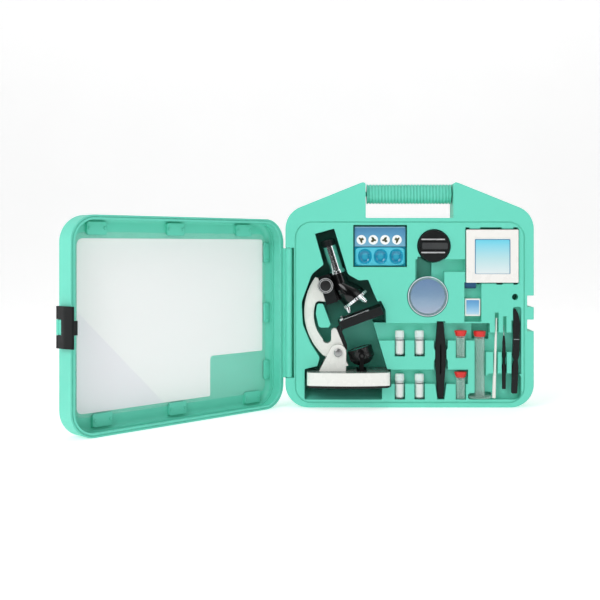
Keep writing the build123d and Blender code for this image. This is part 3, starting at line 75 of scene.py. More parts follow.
class Look:
    """A Principled material with its nodes: noise feeds colour, roughness and bump."""

    def __init__(self, name, rough=0.4, metal=0.0, **sockets):
        self.material = bpy.data.materials.new(name)
        self.material.use_nodes = True
        self.tree = self.material.node_tree
        self.bsdf = self.tree.nodes["Principled BSDF"]
        self.bsdf.inputs["Roughness"].default_value = rough
        self.bsdf.inputs["Metallic"].default_value = metal
        for socket, value in sockets.items():
            self.bsdf.inputs[socket.replace("_", " ")].default_value = value
        self.place = self.node("ShaderNodeTexCoord").outputs["Object"]

    def node(self, kind, **settings):
        made = self.tree.nodes.new(kind)
        for key, value in settings.items():
            setattr(made, key, value)
        return made

    def link(self, start, end):
        self.tree.links.new(start, end)

    def noise(self, size_mm, detail=3.0, stretch=(1, 1, 1)):
        """Noise value with features of about this size."""
        mapping = self.node("ShaderNodeMapping")
        mapping.inputs["Scale"].default_value = stretch
        self.link(self.place, mapping.inputs["Vector"])
        texture = self.node("ShaderNodeTexNoise")
        texture.inputs["Scale"].default_value = 1 / (size_mm * MM)
        texture.inputs["Detail"].default_value = detail
        self.link(mapping.outputs["Vector"], texture.inputs["Vector"])
        return texture.outputs["Fac"]

    def ramp(self, value, stops):
        """Colour ramp over a value; stops are (position, colour)."""
        ramp = self.node("ShaderNodeValToRGB")
        elements = ramp.color_ramp.elements
        while len(elements) < len(stops):
            elements.new(0.5)
        for element, (position, colour) in zip(elements, stops):
            element.position = position
            element.color = (*colour, 1)
        self.link(value, ramp.inputs["Fac"])
        return ramp.outputs["Color"]

    def spread(self, value, low, high):
        """Map a noise value's usual middle range to low..high."""
        spread = self.node("ShaderNodeMapRange")
        spread.inputs["From Min"].default_value = 0.3
        spread.inputs["From Max"].default_value = 0.7
        spread.inputs["To Min"].default_value = low
        spread.inputs["To Max"].default_value = high
        self.link(value, spread.inputs["Value"])
        return spread.outputs["Result"]

    def colour(self, base, vary=0.05, size_mm=30):
        """Base colour that drifts a little over the surface."""
        darker = tuple(c * (1 - vary) for c in base)
        lighter = tuple(min(c * (1 + vary), 1) for c in base)
        drift = self.ramp(self.noise(size_mm), [(0.3, darker), (0.7, lighter)])
        self.link(drift, self.bsdf.inputs["Base Color"])
        return self

    def uneven(self, low, high, size_mm=12):
        """Roughness that drifts between two values."""
        self.link(self.spread(self.noise(size_mm), low, high), self.bsdf.inputs["Roughness"])
        return self

    def grain(self, size_mm, height_mm, strength=0.5, edge_mm=0.0, stretch=(1, 1, 1)):
        """Moulded or brushed micro-texture, and edges eased by a small radius."""
        bump = self.node("ShaderNodeBump")
        bump.inputs["Strength"].default_value = strength
        bump.inputs["Distance"].default_value = height_mm * MM
        self.link(self.noise(size_mm, 2.0, stretch), bump.inputs["Height"])
        if edge_mm:
            bevel = self.node("ShaderNodeBevel", samples=4)
            bevel.inputs["Radius"].default_value = edge_mm * MM
            self.link(bevel.outputs["Normal"], bump.inputs["Normal"])
        self.link(bump.outputs["Normal"], self.bsdf.inputs["Normal"])
        return self

    def along(self, axis, start, end):
        """0..1 as the object coordinate runs from start to end."""
        parts = self.node("ShaderNodeSeparateXYZ")
        self.link(self.place, parts.inputs["Vector"])
        spread = self.node("ShaderNodeMapRange")
        spread.inputs["From Min"].default_value = start
        spread.inputs["From Max"].default_value = end
        self.link(parts.outputs[axis], spread.inputs["Value"])
        return spread.outputs["Result"]

    def across(self, direction, start, end):
        """0..1 as the object coordinate's distance along a direction runs from start to end."""
        dot = self.node("ShaderNodeVectorMath", operation="DOT_PRODUCT")
        self.link(self.place, dot.inputs[0])
        dot.inputs[1].default_value = direction
        spread = self.node("ShaderNodeMapRange")
        spread.inputs["From Min"].default_value = start
        spread.inputs["From Max"].default_value = end
        self.link(dot.outputs["Value"], spread.inputs["Value"])
        return spread.outputs["Result"]

    def printed_and_painted_light(self, value, stops):
        """Gradient of base colour over a value: real print, and painted light where it stands for shade and
        highlight.
        """
        self.link(self.ramp(value, stops), self.bsdf.inputs["Base Color"])
        return self


def plastic(name, base, rough=(0.35, 0.45), edge=0.5, grain=0.25, height=0.02, vary=0.04, **sockets):
    look = Look(name, **sockets).colour(base, vary).uneven(*rough)
    return look.grain(grain, height, 0.35, edge).material


def metal(name, base, rough=(0.08, 0.16), edge=0.25, grain=0.15, height=0.003, stretch=(1, 1, 1)):
    look = Look(name, metal=1.0).colour(base, 0.03, 8).uneven(*rough, size_mm=5)
    return look.grain(grain, height, 0.3, edge, stretch).material


def clear(name, tint, rough=(0.02, 0.08), edge=0.2, **sockets):
    """Clear moulded plastic: light passes through, with faint flow marks."""
    look = Look(name, Transmission_Weight=1.0, IOR=1.45, **sockets).colour(tint, 0.02, 10)
    return look.uneven(*rough, size_mm=8).grain(3.0, 0.01, 0.2, edge).material


def thin(name, tint, face, edge, rough=(0.08, 0.16), soft=0.2, **sockets):
    """Thin clear plastic: nearly invisible face on, and fuller towards its edges."""
    look = Look(name, IOR=1.45, **sockets).colour(tint, 0.02, 10).uneven(*rough, size_mm=8)
    facing = look.node("ShaderNodeLayerWeight")
    facing.inputs["Blend"].default_value = 0.4
    opaque = look.node("ShaderNodeMapRange")
    opaque.inputs["To Min"].default_value = face
    opaque.inputs["To Max"].default_value = edge
    look.link(facing.outputs["Facing"], opaque.inputs["Value"])
    look.link(opaque.outputs["Result"], look.bsdf.inputs["Alpha"])
    return look.grain(3.0, 0.01, 0.2, soft).material


MINT = srgb(104, 214, 190)
MINT_MATERIAL = plastic("mint_plastic", MINT, (0.42, 0.55), 0.9, 0.35, 0.03, 0.025)
# the tray's mint is painted darker towards the bottoms of its pockets, above all in its upper part: painted
# shade, as the plastic itself is one colour
TRAY_PAINTED_SHADE = Look("mint_tray_painted_shade")
POCKET_DEPTH = 0.048
DEPTH = TRAY_PAINTED_SHADE.along("Y", FACE, FACE + POCKET_DEPTH)
# painted shade: the share of the mint kept at each depth, for the tray's lower and upper parts
LOW_PAINTED_SHADES = [(0.0, 1.0), (0.2, 1.0), (0.26, 1.0), (0.44, 0.95), (1.0, 1.0)]
HIGH_PAINTED_SHADES = [(0.0, 1.0), (0.2, 1.0), (0.26, 0.97), (0.44, 0.6), (1.0, 0.28)]
LOW_END, HIGH_START = 0.1, 0.135  # heights where the low shades end and the high ones start
COLOUR_A, COLOUR_B, COLOUR_OUT = 6, 7, 2  # the colour sockets of a Mix node
painted_shade_mix = TRAY_PAINTED_SHADE.node("ShaderNodeMix", data_type="RGBA")
TRAY_PAINTED_SHADE.link(TRAY_PAINTED_SHADE.along("Z", LOW_END, HIGH_START), painted_shade_mix.inputs["Factor"])
for socket, shades in ((COLOUR_A, LOW_PAINTED_SHADES), (COLOUR_B, HIGH_PAINTED_SHADES)):
    stops = [(at, tuple(channel * share for channel in MINT)) for at, share in shades]
    TRAY_PAINTED_SHADE.link(TRAY_PAINTED_SHADE.ramp(DEPTH, stops), painted_shade_mix.inputs[socket])
TRAY_PAINTED_SHADE.link(painted_shade_mix.outputs[COLOUR_OUT], TRAY_PAINTED_SHADE.bsdf.inputs["Base Color"])
TRAY_PAINTED_SHADE_MATERIAL = TRAY_PAINTED_SHADE.uneven(0.42, 0.55).grain(0.35, 0.03, 0.35, 0.9).material
BLACK = srgb(16, 19, 20)
BLACK_MATERIAL = plastic("black_plastic", BLACK, (0.38, 0.5), 0.4, 0.3, 0.02, 0.1, Specular_IOR_Level=0.3)
GLOSS_BLACK = plastic("gloss_black", srgb(12, 12, 13), (0.1, 0.18), 0.4, 2.0, 0.01, 0.1)
DRUM_BLACK = plastic("drum_black", srgb(14, 14, 15), (0.16, 0.26), 0.5, 1.5, 0.02, 0.1)
YOKE_BLACK = plastic("yoke_black", srgb(6, 6, 7), (0.5, 0.6), 0.3, 0.3, 0.02, 0.1, Specular_IOR_Level=0.15)
IVORY = srgb(236, 235, 230)
IVORY_MATERIAL = plastic("ivory_enamel", IVORY, (0.22, 0.32), 0.8, 1.2, 0.02, 0.015, Coat_Weight=0.3)
# the foot's upward-facing faces are painted a duller grey: painted shade from the stage above them and
# painted reflection of the dark pocket
FOOT = Look("foot_enamel_painted_shade", Coat_Weight=0.3)
UPWARD = FOOT.node("ShaderNodeSeparateXYZ")
FOOT.link(FOOT.node("ShaderNodeNewGeometry").outputs["Normal"], UPWARD.inputs["Vector"])
FOOT.printed_and_painted_light(UPWARD.outputs["Z"], [(0.75, IVORY), (0.97, srgb(128, 140, 134))])
FOOT_PAINTED_SHADE_MATERIAL = FOOT.uneven(0.22, 0.32).grain(1.2, 0.02, 0.35, 0.8).material
WHITE_MATERIAL = plastic("white_plastic", srgb(240, 237, 233), (0.25, 0.35), 0.4, 0.6, 0.01, 0.01)

# the card in the lid: white, with a pale grey print below a slanting line
PRINT_SLOPE = math.radians(44.2)
PRINT_FOOT_HEIGHT = 0.02
PRINT_FOOT_OUT = 0.163
PRINT_SOFTNESS = 0.001
PRINT_NORMAL = LID_OUTWARD * math.sin(PRINT_SLOPE) - Vector(UP) * math.cos(PRINT_SLOPE)
PRINT_FOOT = Vector((HINGE.x, HINGE.y, PRINT_FOOT_HEIGHT)) + PRINT_FOOT_OUT * LID_OUTWARD
PRINT_LINE = PRINT_FOOT.dot(PRINT_NORMAL)
CARD = Look("white_card")
CARD.printed_and_painted_light(
    CARD.across(PRINT_NORMAL, PRINT_LINE - PRINT_SOFTNESS, PRINT_LINE + PRINT_SOFTNESS),
    [(0.45, srgb(254, 254, 254)), (0.55, srgb(246, 244, 249))],
)
CARD_MATERIAL = CARD.uneven(0.5, 0.65).grain(2.0, 0.01, 0.05).material
RED = srgb(226, 40, 36)
RED_MATERIAL = plastic("red_plastic", RED, (0.25, 0.38), 0.3, 0.5, 0.01, 0.05, Subsurface_Weight=0.1)
RUBBER = plastic("black_rubber", srgb(20, 20, 20), (0.7, 0.85), 0.3, 0.3, 0.04, 0.1)
CHROME = metal("chrome", (0.82, 0.83, 0.85))
STEEL = metal("bright_steel", (0.62, 0.62, 0.64), (0.22, 0.35), 0.15, 0.2, 0.004, (1, 1, 0.1))
RAIL = metal("satin_rail", (0.8, 0.81, 0.82), (0.4, 0.5))
GUN_METAL = metal("pewter_bolt", (0.38, 0.39, 0.4), (0.25, 0.4))
BOLT = metal("dull_bolt", (0.42, 0.42, 0.42), (0.3, 0.4))
CLEAR = thin("clear_plastic", srgb(214, 240, 232), 0.12, 0.6)
TINT = srgb(92, 160, 188)
TINTED = plastic("tinted_box", TINT, (0.12, 0.2), 0.4, 2.0, 0.01, 0.04, Transmission_Weight=0.2)
WINDOW_LOOK = Look("clear_window", Alpha=0.07, IOR=1.45, Specular_IOR_Level=0.25)
WINDOW_LOOK.colour((0.95, 0.97, 0.97), 0.01).uneven(0.3, 0.36, 40).grain(40, 0.02, 0.2)
WINDOW = WINDOW_LOOK.material
LENS = clear("lens_glass", (0.86, 0.92, 0.97), (0.0, 0.02), 0.0)
MIRROR = metal("mirror_glass", (0.9, 0.92, 0.93), (0.02, 0.04), 0.0, 5.0, 0.001)
CYAN = clear("cyan_tinted", (0.25, 0.72, 0.86), (0.03, 0.1), 0.5)

FINISH = {
    MINT_MATERIAL: ("base_rear_shell", "lid_shell", "handle_shaft", "handle_grip"),
    TRAY_PAINTED_SHADE_MATERIAL: ("tray_panel",),
    BLACK_MATERIAL: (
        "latch",
        "focus_knobs",
        "focus_housing",
        "eyepiece",
        "stage",
        "slicer_body",
        "tweezers_rear",
        "tweezers_front",
        "needle_handle",
        "scalpel",
    ),
    GLOSS_BLACK: ("tube_head", "focus_rack"),
    DRUM_BLACK: ("mirror_drum",),
    YOKE_BLACK: ("mirror_yoke",),
    IVORY_MATERIAL: ("arm",),
    FOOT_PAINTED_SHADE_MATERIAL: ("foot_casting",),
    WHITE_MATERIAL: ("slide_box_tray", "slide_box_lid", "cover_box", "stir_rod"),
    TINTED: ("specimen_box",),
    CARD_MATERIAL: ("lid_card",),
    RED_MATERIAL: ("sample_tube_cap_1", "sample_tube_cap_2", "cylinder_cap"),
    RUBBER: ("foot_pad",),
    CHROME: (
        "draw_tube",
        "turret",
        "objective_short",
        "objective_medium",
        "objective_long",
        "clip_near",
        "clip_far",
        "clip_screws",
    ),
    RAIL: ("slicer_rails",),
    STEEL: ("base_screws", "hinge_pin", "latch_pin", "focus_pinion", "needle_point"),
    GUN_METAL: ("tilt_bolt",),
    CLEAR: ("sample_tube_1", "sample_tube_2", "cylinder", "petri_dish", "petri_lid"),
    WINDOW: ("lid_window",),
    LENS: ("eye_lens", "objective_lenses"),
    MIRROR: ("mirror_glass",),
    CYAN: ("specimen_wells",),
}


def dress(obj, material):
    """Give every face of an object one material."""
    obj.data.materials.clear()
    obj.data.materials.append(material)


for material, names in FINISH.items():
    for name in names:
        dress(NODES[name], material)


# ------------------------------------------------------------------ mesh helpers
def rounded(x0, x1, z0, z1, radius, steps=6):
    """Points of a rectangle with rounded corners."""
    corners = ((x1 - radius, z1 - radius, 0), (x0 + radius, z1 - radius, 90))
    corners += ((x0 + radius, z0 + radius, 180), (x1 - radius, z0 + radius, 270))
    points = []
    for x, z, start in corners:
        for step in range(steps + 1):
            turn = math.radians(start + 90 * step / steps)
            points.append((x + radius * math.cos(turn), z + radius * math.sin(turn)))
    return points


def ring(x, z, radius, steps=64):
    """Points of a circle."""
    turns = [2 * math.pi * step / steps for step in range(steps)]
    return [(x + radius * math.cos(t), z + radius * math.sin(t)) for t in turns]


def finish_piece(mesh, name, material, body, smooth=True):
    """Make the object, smooth it by angle and let it ride on its body."""
    bmesh.ops.recalc_face_normals(mesh, faces=mesh.faces)
    data = bpy.data.meshes.new(name)
    mesh.to_mesh(data)
    mesh.free()
    obj = bpy.data.objects.new(name, data)
    bpy.context.scene.collection.objects.link(obj)
    dress(obj, material)
    if smooth:
        data.shade_smooth()
        data.set_sharp_from_angle(angle=math.radians(40))
    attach(obj, body)
    return obj


def plate(name, points, front, back, material, body, soft=0.15, place=None):
    """Flat plate seen from the front, with its front edge eased. Depths are y in metres."""
    mesh = bmesh.new()
    layers = ((back, 0.0), (front + soft * MM, 0.0), (front, soft * MM))
    middle = Vector((sum(p[0] for p in points), sum(p[1] for p in points))) / len(points)
    rows = []
    for y, inset in layers:
        row = []
        for x, z in points:
            away = Vector((x, z)) - middle
            away = away * max(1 - inset / max(away.length, 1e-6), 0)
            row.append(mesh.verts.new((middle.x + away.x, y, middle.y + away.y)))
        rows.append(row)
    for lower, upper in zip(rows, rows[1:]):
        for i in range(len(points)):
            j = (i + 1) % len(points)
            mesh.faces.new((lower[i], lower[j], upper[j], upper[i]))
    mesh.faces.new(rows[-1])
    mesh.faces.new(list(reversed(rows[0])))
    if place:
        mesh.transform(place)
    return finish_piece(mesh, name, material, body)


def lathe(name, profile, origin, axis, material, body, steps=64):
    """Turned piece: profile of (radius, height) points in metres about an axis."""
    up = Vector(axis).normalized()
    turn = up.to_track_quat("Z", "Y").to_matrix().to_4x4()
    place = Matrix.Translation(Vector(origin)) @ turn
    mesh = bmesh.new()
    rows = []
    for radius, height in profile:
        if radius < 1e-7:
            rows.append([mesh.verts.new(place @ Vector((0, 0, height)))])
            continue
        points = ring(0, 0, radius, steps)
        rows.append([mesh.verts.new(place @ Vector((x, y, height))) for x, y in points])
    for lower, upper in zip(rows, rows[1:]):
        for i in range(steps):
            j = (i + 1) % steps
            if len(lower) == 1:
                mesh.faces.new((lower[0], upper[j], upper[i]))
            elif len(upper) == 1:
                mesh.faces.new((lower[i], lower[j], upper[0]))
            else:
                mesh.faces.new((lower[i], lower[j], upper[j], upper[i]))
    return finish_piece(mesh, name, material, body)


# ------------------------------------------------------------------ card in the lid
def eased(corners, steps=6):
    """Outline through the corners, each with its own rounding radius."""
    points = []
    for i, (x, z, radius) in enumerate(corners):
        here = Vector((x, z))
        before = (Vector(corners[i - 1][:2]) - here).normalized()
        after = (Vector(corners[(i + 1) % len(corners)][:2]) - here).normalized()
        start, end = here + before * radius, here + after * radius
        for step in range(steps + 1):
            t = step / steps
            points.append((1 - t) ** 2 * start + 2 * t * (1 - t) * here + t**2 * end)
    return points


LID_PLACE = Matrix.Translation((HINGE.x, HINGE.y, 0)) @ Matrix(
    ((LID_OUTWARD.x, LID_BACK.x, 0, 0), (LID_OUTWARD.y, LID_BACK.y, 0, 0), (0, 0, 1, 0), (0, 0, 0, 1))
)
CARD_OUTLINE = [
    (0.0165, 0.203, 0.003),
    (0.0165, 0.0675, 0.0025),
    (0.098, 0.0675, 0.005),
    (0.098, 0.021, 0.0025),
    (0.274, 0.021, 0.008),
    (0.274, 0.203, 0.008),
]
card = plate("card", eased(CARD_OUTLINE), 0.02965, 0.03005, CARD_MATERIAL, "lid", 0.0, LID_PLACE)
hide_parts("lid_card")

# ------------------------------------------------------------------ vials
CAP_WHITE = srgb(226, 236, 232)
VIAL_CAP = plastic("vial_cap", CAP_WHITE, (0.25, 0.35), 0.0, 0.5, 0.01, 0.01, Subsurface_Weight=0.1)
VIAL_NECK = 0.68  # share of the vial's height below its cap
VIAL_LABEL = plastic("vial_label", srgb(226, 228, 226), (0.5, 0.6), 0.0, 0.4, 0.01, 0.01)
VIAL_BAND = plastic("vial_band", srgb(196, 206, 204), (0.3, 0.45), 0.0, 0.4, 0.01, 0.03)
VIAL_INSIDE = plastic("vial_content", srgb(206, 214, 212), (0.3, 0.45), 0.0, 0.8, 0.01, 0.03)
VIAL_GLASS = clear("vial_glass", (0.9, 0.96, 0.95))
CAP_RIBS = 36
RIB_PROUD = 0.045


def vial(node):
    """Bottle with its contents, label and ribbed cap, in place of the plain CAD vial."""
    low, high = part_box(node)
    x, y = (low.x + high.x) / 2, (low.y + high.y) / 2
    radius = (high.x - low.x) / 2
    tall = high.z - low.z
    neck = tall * VIAL_NECK
    foot = (x, y, low.z)
    glass = [(0, 0), (radius * 0.86, 0), (radius * 0.97, 0.0006), (radius * 0.97, neck - 0.0012)]
    glass += [(radius * 0.72, neck - 0.0002), (radius * 0.72, neck + 0.001), (0, neck + 0.001)]
    bottle = lathe(f"{node}_bottle", glass, foot, UP, VIAL_GLASS, node)
    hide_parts(node)
    content = [(0, 0.001), (radius * 0.8, 0.001), (radius * 0.84, 0.0018)]
    content += [(radius * 0.84, neck - 0.002), (0, neck - 0.002)]
    lathe(f"{node}_content", content, foot, UP, VIAL_INSIDE, node)
    band = [(radius * 0.74, neck - 0.0016), (radius * 0.97, neck - 0.0012)]
    band += [(radius * 0.95, neck + 0.0011), (radius * 0.7, neck + 0.0012)]
    lathe(f"{node}_band", band, foot, UP, VIAL_BAND, node)
    wrap = [(radius * 0.975, 0.0024), (radius * 0.995, 0.0025)]
    wrap += [(radius * 0.995, neck - 0.0026), (radius * 0.975, neck - 0.0025)]
    lathe(f"{node}_label", wrap, foot, UP, VIAL_LABEL, node)
    mesh = bmesh.new()
    steps = CAP_RIBS * 4
    rows = []
    # (height, share of the radius, whether the ribs stand out there)
    shape = [(neck + 0.0012, 0.9, 0), (neck + 0.0016, 0.95, 1), (tall - 0.0012, 0.95, 1)]
    shape += [(tall - 0.0004, 0.9, 0), (tall, 0.78, 0)]
    for height, share, ribbed in shape:
        row = []
        for step in range(steps):
            turn = 2 * math.pi * step / steps
            out = radius * (share + RIB_PROUD * ribbed * (step % 4 in (0, 1)))
            row.append(mesh.verts.new((x + out * math.cos(turn), y + out * math.sin(turn), low.z + height)))
        rows.append(row)
    for lower, upper in zip(rows, rows[1:]):
        for i in range(steps):
            j = (i + 1) % steps
            mesh.faces.new((lower[i], lower[j], upper[j], upper[i]))
    mesh.faces.new(rows[-1])
    mesh.faces.new(list(reversed(rows[0])))
    finish_piece(mesh, f"{node}_cap", VIAL_CAP, node)


for number in range(1, 5):
    vial(f"vial_{number}")


# ------------------------------------------------------------------ labels on the boxes
def gradient(name, bottom, top, stops, rough=0.3, **sockets):
    """Printed label whose colour changes from its bottom to its top."""
    look = Look(name, rough=rough, **sockets)
    look.printed_and_painted_light(look.along("Z", bottom, top), [(at, srgb(*shade)) for at, shade in stops])
    return look.grain(0.5, 0.01, 0.3).material


low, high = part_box("specimen_box")
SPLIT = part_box("specimen_wells")[1].z
BLUES = [(0.0, (120, 176, 202)), (0.6, (88, 150, 190)), (0.93, (74, 134, 176)), (1.0, (196, 220, 228))]
LABEL_BLUE = gradient("specimen_label", SPLIT, high.z, BLUES, 0.35)
plate(
    "specimen_label",
    rounded(low.x + 0.0005, high.x - 0.0005, SPLIT + 0.0007, high.z - 0.0006, 0.0008),
    low.y - 0.0002,
    low.y + 0.0001,
    LABEL_BLUE,
    "specimens",
    0.05,
)
STICKER = plastic("round_sticker", srgb(246, 247, 246), (0.4, 0.5), 0.0, 0.4, 0.01, 0.01)
SPECIMEN = plastic("dried_specimen", srgb(62, 66, 40), (0.5, 0.7), 0.0, 0.6, 0.05, 0.5)
FIRST_STICKER, STICKER_PITCH = 0.135, 0.232  # shares of the box's width
STICKER_UP, STICKER_RADIUS = 0.0085, 0.0058
SPECIMEN_RADIUS, SPECIMEN_STEPS = 0.0024, 28
width = high.x - low.x
for count in range(4):
    x = low.x + width * (FIRST_STICKER + STICKER_PITCH * count)
    z = SPLIT + STICKER_UP
    disc = ring(x, z, STICKER_RADIUS, 48)
    plate(f"sticker_{count}", disc, low.y - 0.0004, low.y, STICKER, "specimens", 0.05)
    # a flattened leaf or seed with an uneven rim
    rim = []
    for step in range(SPECIMEN_STEPS):
        turn = 2 * math.pi * step / SPECIMEN_STEPS
        wave = 1 + 0.35 * math.sin(3 * turn + 2.1 * count) + 0.2 * math.cos(5 * turn + count)
        reach = SPECIMEN_RADIUS * wave
        rim.append((x + reach * math.cos(turn), z + 1.2 * reach * math.sin(turn)))
    top, base = low.y - 0.0008, low.y - 0.0003
    plate(f"specimen_{count}", rim, top, base, SPECIMEN, "specimens", 0.2)

low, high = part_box("slide_box_lid")
x, z = (low.x + high.x) / 2 + 0.0002, (low.z + high.z) / 2 - 0.0008
BORDER = [(0, (110, 160, 190)), (1, (70, 130, 172))]
LABEL_EDGE = gradient("slide_label_border", z - 0.022, z + 0.022, BORDER)
SKY = [(0.0, (222, 232, 234)), (0.45, (185, 223, 228)), (1.0, (110, 210, 232))]
LABEL_SKY = gradient("slide_label_middle", z - 0.02, z + 0.02, SKY)
HALF_LABEL = 0.0213
HALF_SKY = 0.0203
plate(
    "slide_label_border",
    rounded(x - HALF_LABEL, x + HALF_LABEL, z - HALF_LABEL, z + HALF_LABEL, 0.0012),
    low.y + 0.0008,
    low.y + 0.0011,
    LABEL_EDGE,
    "slide_box_lid",
    0.05,
)
plate(
    "slide_label_middle",
    rounded(x - HALF_SKY, x + HALF_SKY, z - HALF_SKY, z + HALF_SKY, 0.001),
    low.y + 0.0006,
    low.y + 0.0009,
    LABEL_SKY,
    "slide_box_lid",
    0.05,
)

low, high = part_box("cover_box")
PALE_BLUES = [(0, (205, 222, 232)), (0.25, (160, 204, 230)), (0.6, (116, 174, 216)), (1, (76, 144, 200))]
BLUE_PRINT = gradient("small_label", low.z, high.z, PALE_BLUES)
LABEL_MARGIN = 0.0018
plate(
    "cover_label",
    rounded(low.x + LABEL_MARGIN, high.x - LABEL_MARGIN, low.z + LABEL_MARGIN, high.z - LABEL_MARGIN, 0.0008),
    low.y - 0.0002,
    low.y + 0.0001,
    BLUE_PRINT,
    "cover_box",
    0.05,
)

# ------------------------------------------------------------------ petri dish label
low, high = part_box("petri_lid")
x, z = (low.x + high.x) / 2, (low.z + high.z) / 2
DUSK = [(0.0, (204, 206, 222)), (0.3, (158, 184, 208)), (0.6, (112, 154, 190)), (1.0, (68, 122, 180))]
PETRI_PRINT = gradient("petri_label", z - 0.022, z + 0.022, DUSK, 0.25, Coat_Weight=0.5)
PETRI_LABEL_RADIUS = 0.0208
disc = ring(x, z, PETRI_LABEL_RADIUS, 96)
plate("petri_label", disc, low.y + 0.0017, low.y + 0.0021, PETRI_PRINT, "petri_lid", 0.1)
PETRI_CLEAR = thin("petri_clear", srgb(200, 222, 240), 0.12, 0.75, (0.05, 0.1), 0.0)
rim, thick = (high.x - low.x) / 2, high.y - low.y
shape = [(0, 0), (rim - 0.0042, 0), (rim - 0.0028, -0.0004), (rim - 0.0026, 0.0002), (rim - 0.0012, 0)]
shape += [(rim - 0.0003, -0.0007), (rim, -0.002), (rim, -thick), (rim - 0.0012, -thick)]
shape += [(rim - 0.0013, -0.0018), (rim - 0.003, -0.0014), (0, -0.0014)]
petri_cover = lathe("petri_cover", shape, (x, low.y, z), FRONT, PETRI_CLEAR, "petri_lid", 96)
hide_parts("petri_lid")
# a white bead on the clear lid's rim: painted highlight standing for the bright edge of the clear rim
PETRI_GLINT = plastic("petri_glint", srgb(236, 244, 250), (0.08, 0.14), 0.0, 2.0, 0.005, 0.02)
radius = rim - 0.0006
bead = [(radius - 0.0004, 0.0), (radius - 0.0001, 0.0004)]
bead += [(radius + 0.0004, 0.0), (radius - 0.0001, -0.0005)]
lathe("petri_highlight_bead", [*bead, bead[0]], (x, low.y, z), FRONT, PETRI_GLINT, "petri_lid", 96)

# ------------------------------------------------------------------ slicer and scalpel trim
low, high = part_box("slicer_body")
x, z = (low.x + high.x) / 2, (low.z + high.z) / 2
BAND_LEFT, BAND_RIGHT, BAND_HALF_TALL = 0.0146, 0.0161, 0.0038
SLATE = plastic("slate_band", srgb(58, 60, 61), (0.3, 0.4), 0.0, 0.4, 0.01, 0.05)
plate(
    "slicer_band",
    rounded(x - BAND_LEFT, x + BAND_RIGHT, z - BAND_HALF_TALL, z + BAND_HALF_TALL, 0.0016),
    low.y - 0.0004,
    low.y + 0.0002,
    SLATE,
    "slicer",
    0.2,
)
low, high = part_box("scalpel")
LINE_LOW, LINE_HIGH = 0.0816, 0.0824
PALE_LINE = plastic("pale_line", srgb(150, 160, 162), (0.3, 0.4), 0.0, 0.4, 0.01, 0.05)
plate(
    "scalpel_line",
    rounded(low.x + 0.0026, high.x - 0.0008, LINE_LOW, LINE_HIGH, 0.0003),
    low.y - 0.0001,
    low.y + 0.0002,
    PALE_LINE,
    "scalpel",
    0.05,
)

# ------------------------------------------------------------------ knob centres and bright rings
KNOB_BLACK = plastic("knob_centre", srgb(18, 18, 19), (0.3, 0.4), 0.0, 0.3, 0.01, 0.1)
low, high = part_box("focus_pinion")
x, z = (low.x + high.x) / 2, (low.z + high.z) / 2
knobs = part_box("focus_knobs")
for side, y in (("near", knobs[0].y), ("far", knobs[1].y)):
    out = (0, -1 if side == "near" else 1, 0)
    dome = [(0.0071, -0.0015), (0.0071, -0.0004), (0.0064, 0.0001), (0.004, 0.0003), (0, 0.0004)]
    lathe(f"knob_centre_{side}", dome, (x, y, z), out, KNOB_BLACK, "focus_drive")
    for place, inner, outer in (("inner", 0.0066, 0.0074), ("outer", 0.0083, 0.0091)):
        trim = [(inner, -0.0003), (inner + 0.0001, 0.0006), (outer - 0.0001, 0.0006), (outer, -0.0003)]
        lathe(f"knob_{place}_ring_{side}", trim, (x, y, z), out, RAIL, "focus_drive")

# ------------------------------------------------------------------ smooth shell of the tube's head
# the head widens from its neck, on the draw tube's axis, to its end at the turret
NECK, NECK_LEAN, NECK_RADIUS = Vector((-0.0832, FACE + 0.0145, 0.1496)), math.radians(17.3), 0.0096
END, END_LEAN, END_RADIUS = Vector((-0.0683, FACE + 0.0145, 0.1338)), math.radians(38.6), 0.0152
SHELL_PROUD = 0.0002
SECTIONS, ROUND = 24, 96
mesh = bmesh.new()
rows = []
for section in range(SECTIONS + 1):
    t = section / SECTIONS
    middle = NECK.lerp(END, t)
    lean = NECK_LEAN + (END_LEAN - NECK_LEAN) * t
    radius = NECK_RADIUS + (END_RADIUS - NECK_RADIUS) * math.sin(t * math.pi / 2) ** 0.9 + SHELL_PROUD
    right = Vector((math.cos(lean), 0, math.sin(lean)))
    row = [middle + radius * (x * right + Vector((0, y, 0))) for x, y in ring(0, 0, 1, ROUND)]
    rows.append([mesh.verts.new(point) for point in row])
for upper, lower in zip(rows, rows[1:]):
    for i in range(ROUND):
        j = (i + 1) % ROUND
        mesh.faces.new((upper[i], upper[j], lower[j], lower[i]))
finish_piece(mesh, "head_shell", GLOSS_BLACK, "tube")
# as wide as the draw tube's own collar in the frame, which clears the tray when the arm tilts
COLLAR = [(0.009, -0.0006), (0.0097, -0.0005), (0.0098, 0.0004), (0.0097, 0.0013)]
COLLAR += [(0.0096, 0.0019), (0.0095, 0.0032), (0.009, 0.0033)]
COLLAR_UP = 0.0138
COLLAR_AXIS = Vector((-math.sin(NECK_LEAN), 0, math.cos(NECK_LEAN)))
collar_at = NECK + COLLAR_UP * COLLAR_AXIS
lathe("tube_collar", [*COLLAR, COLLAR[0]], collar_at, COLLAR_AXIS, CHROME, "tube")

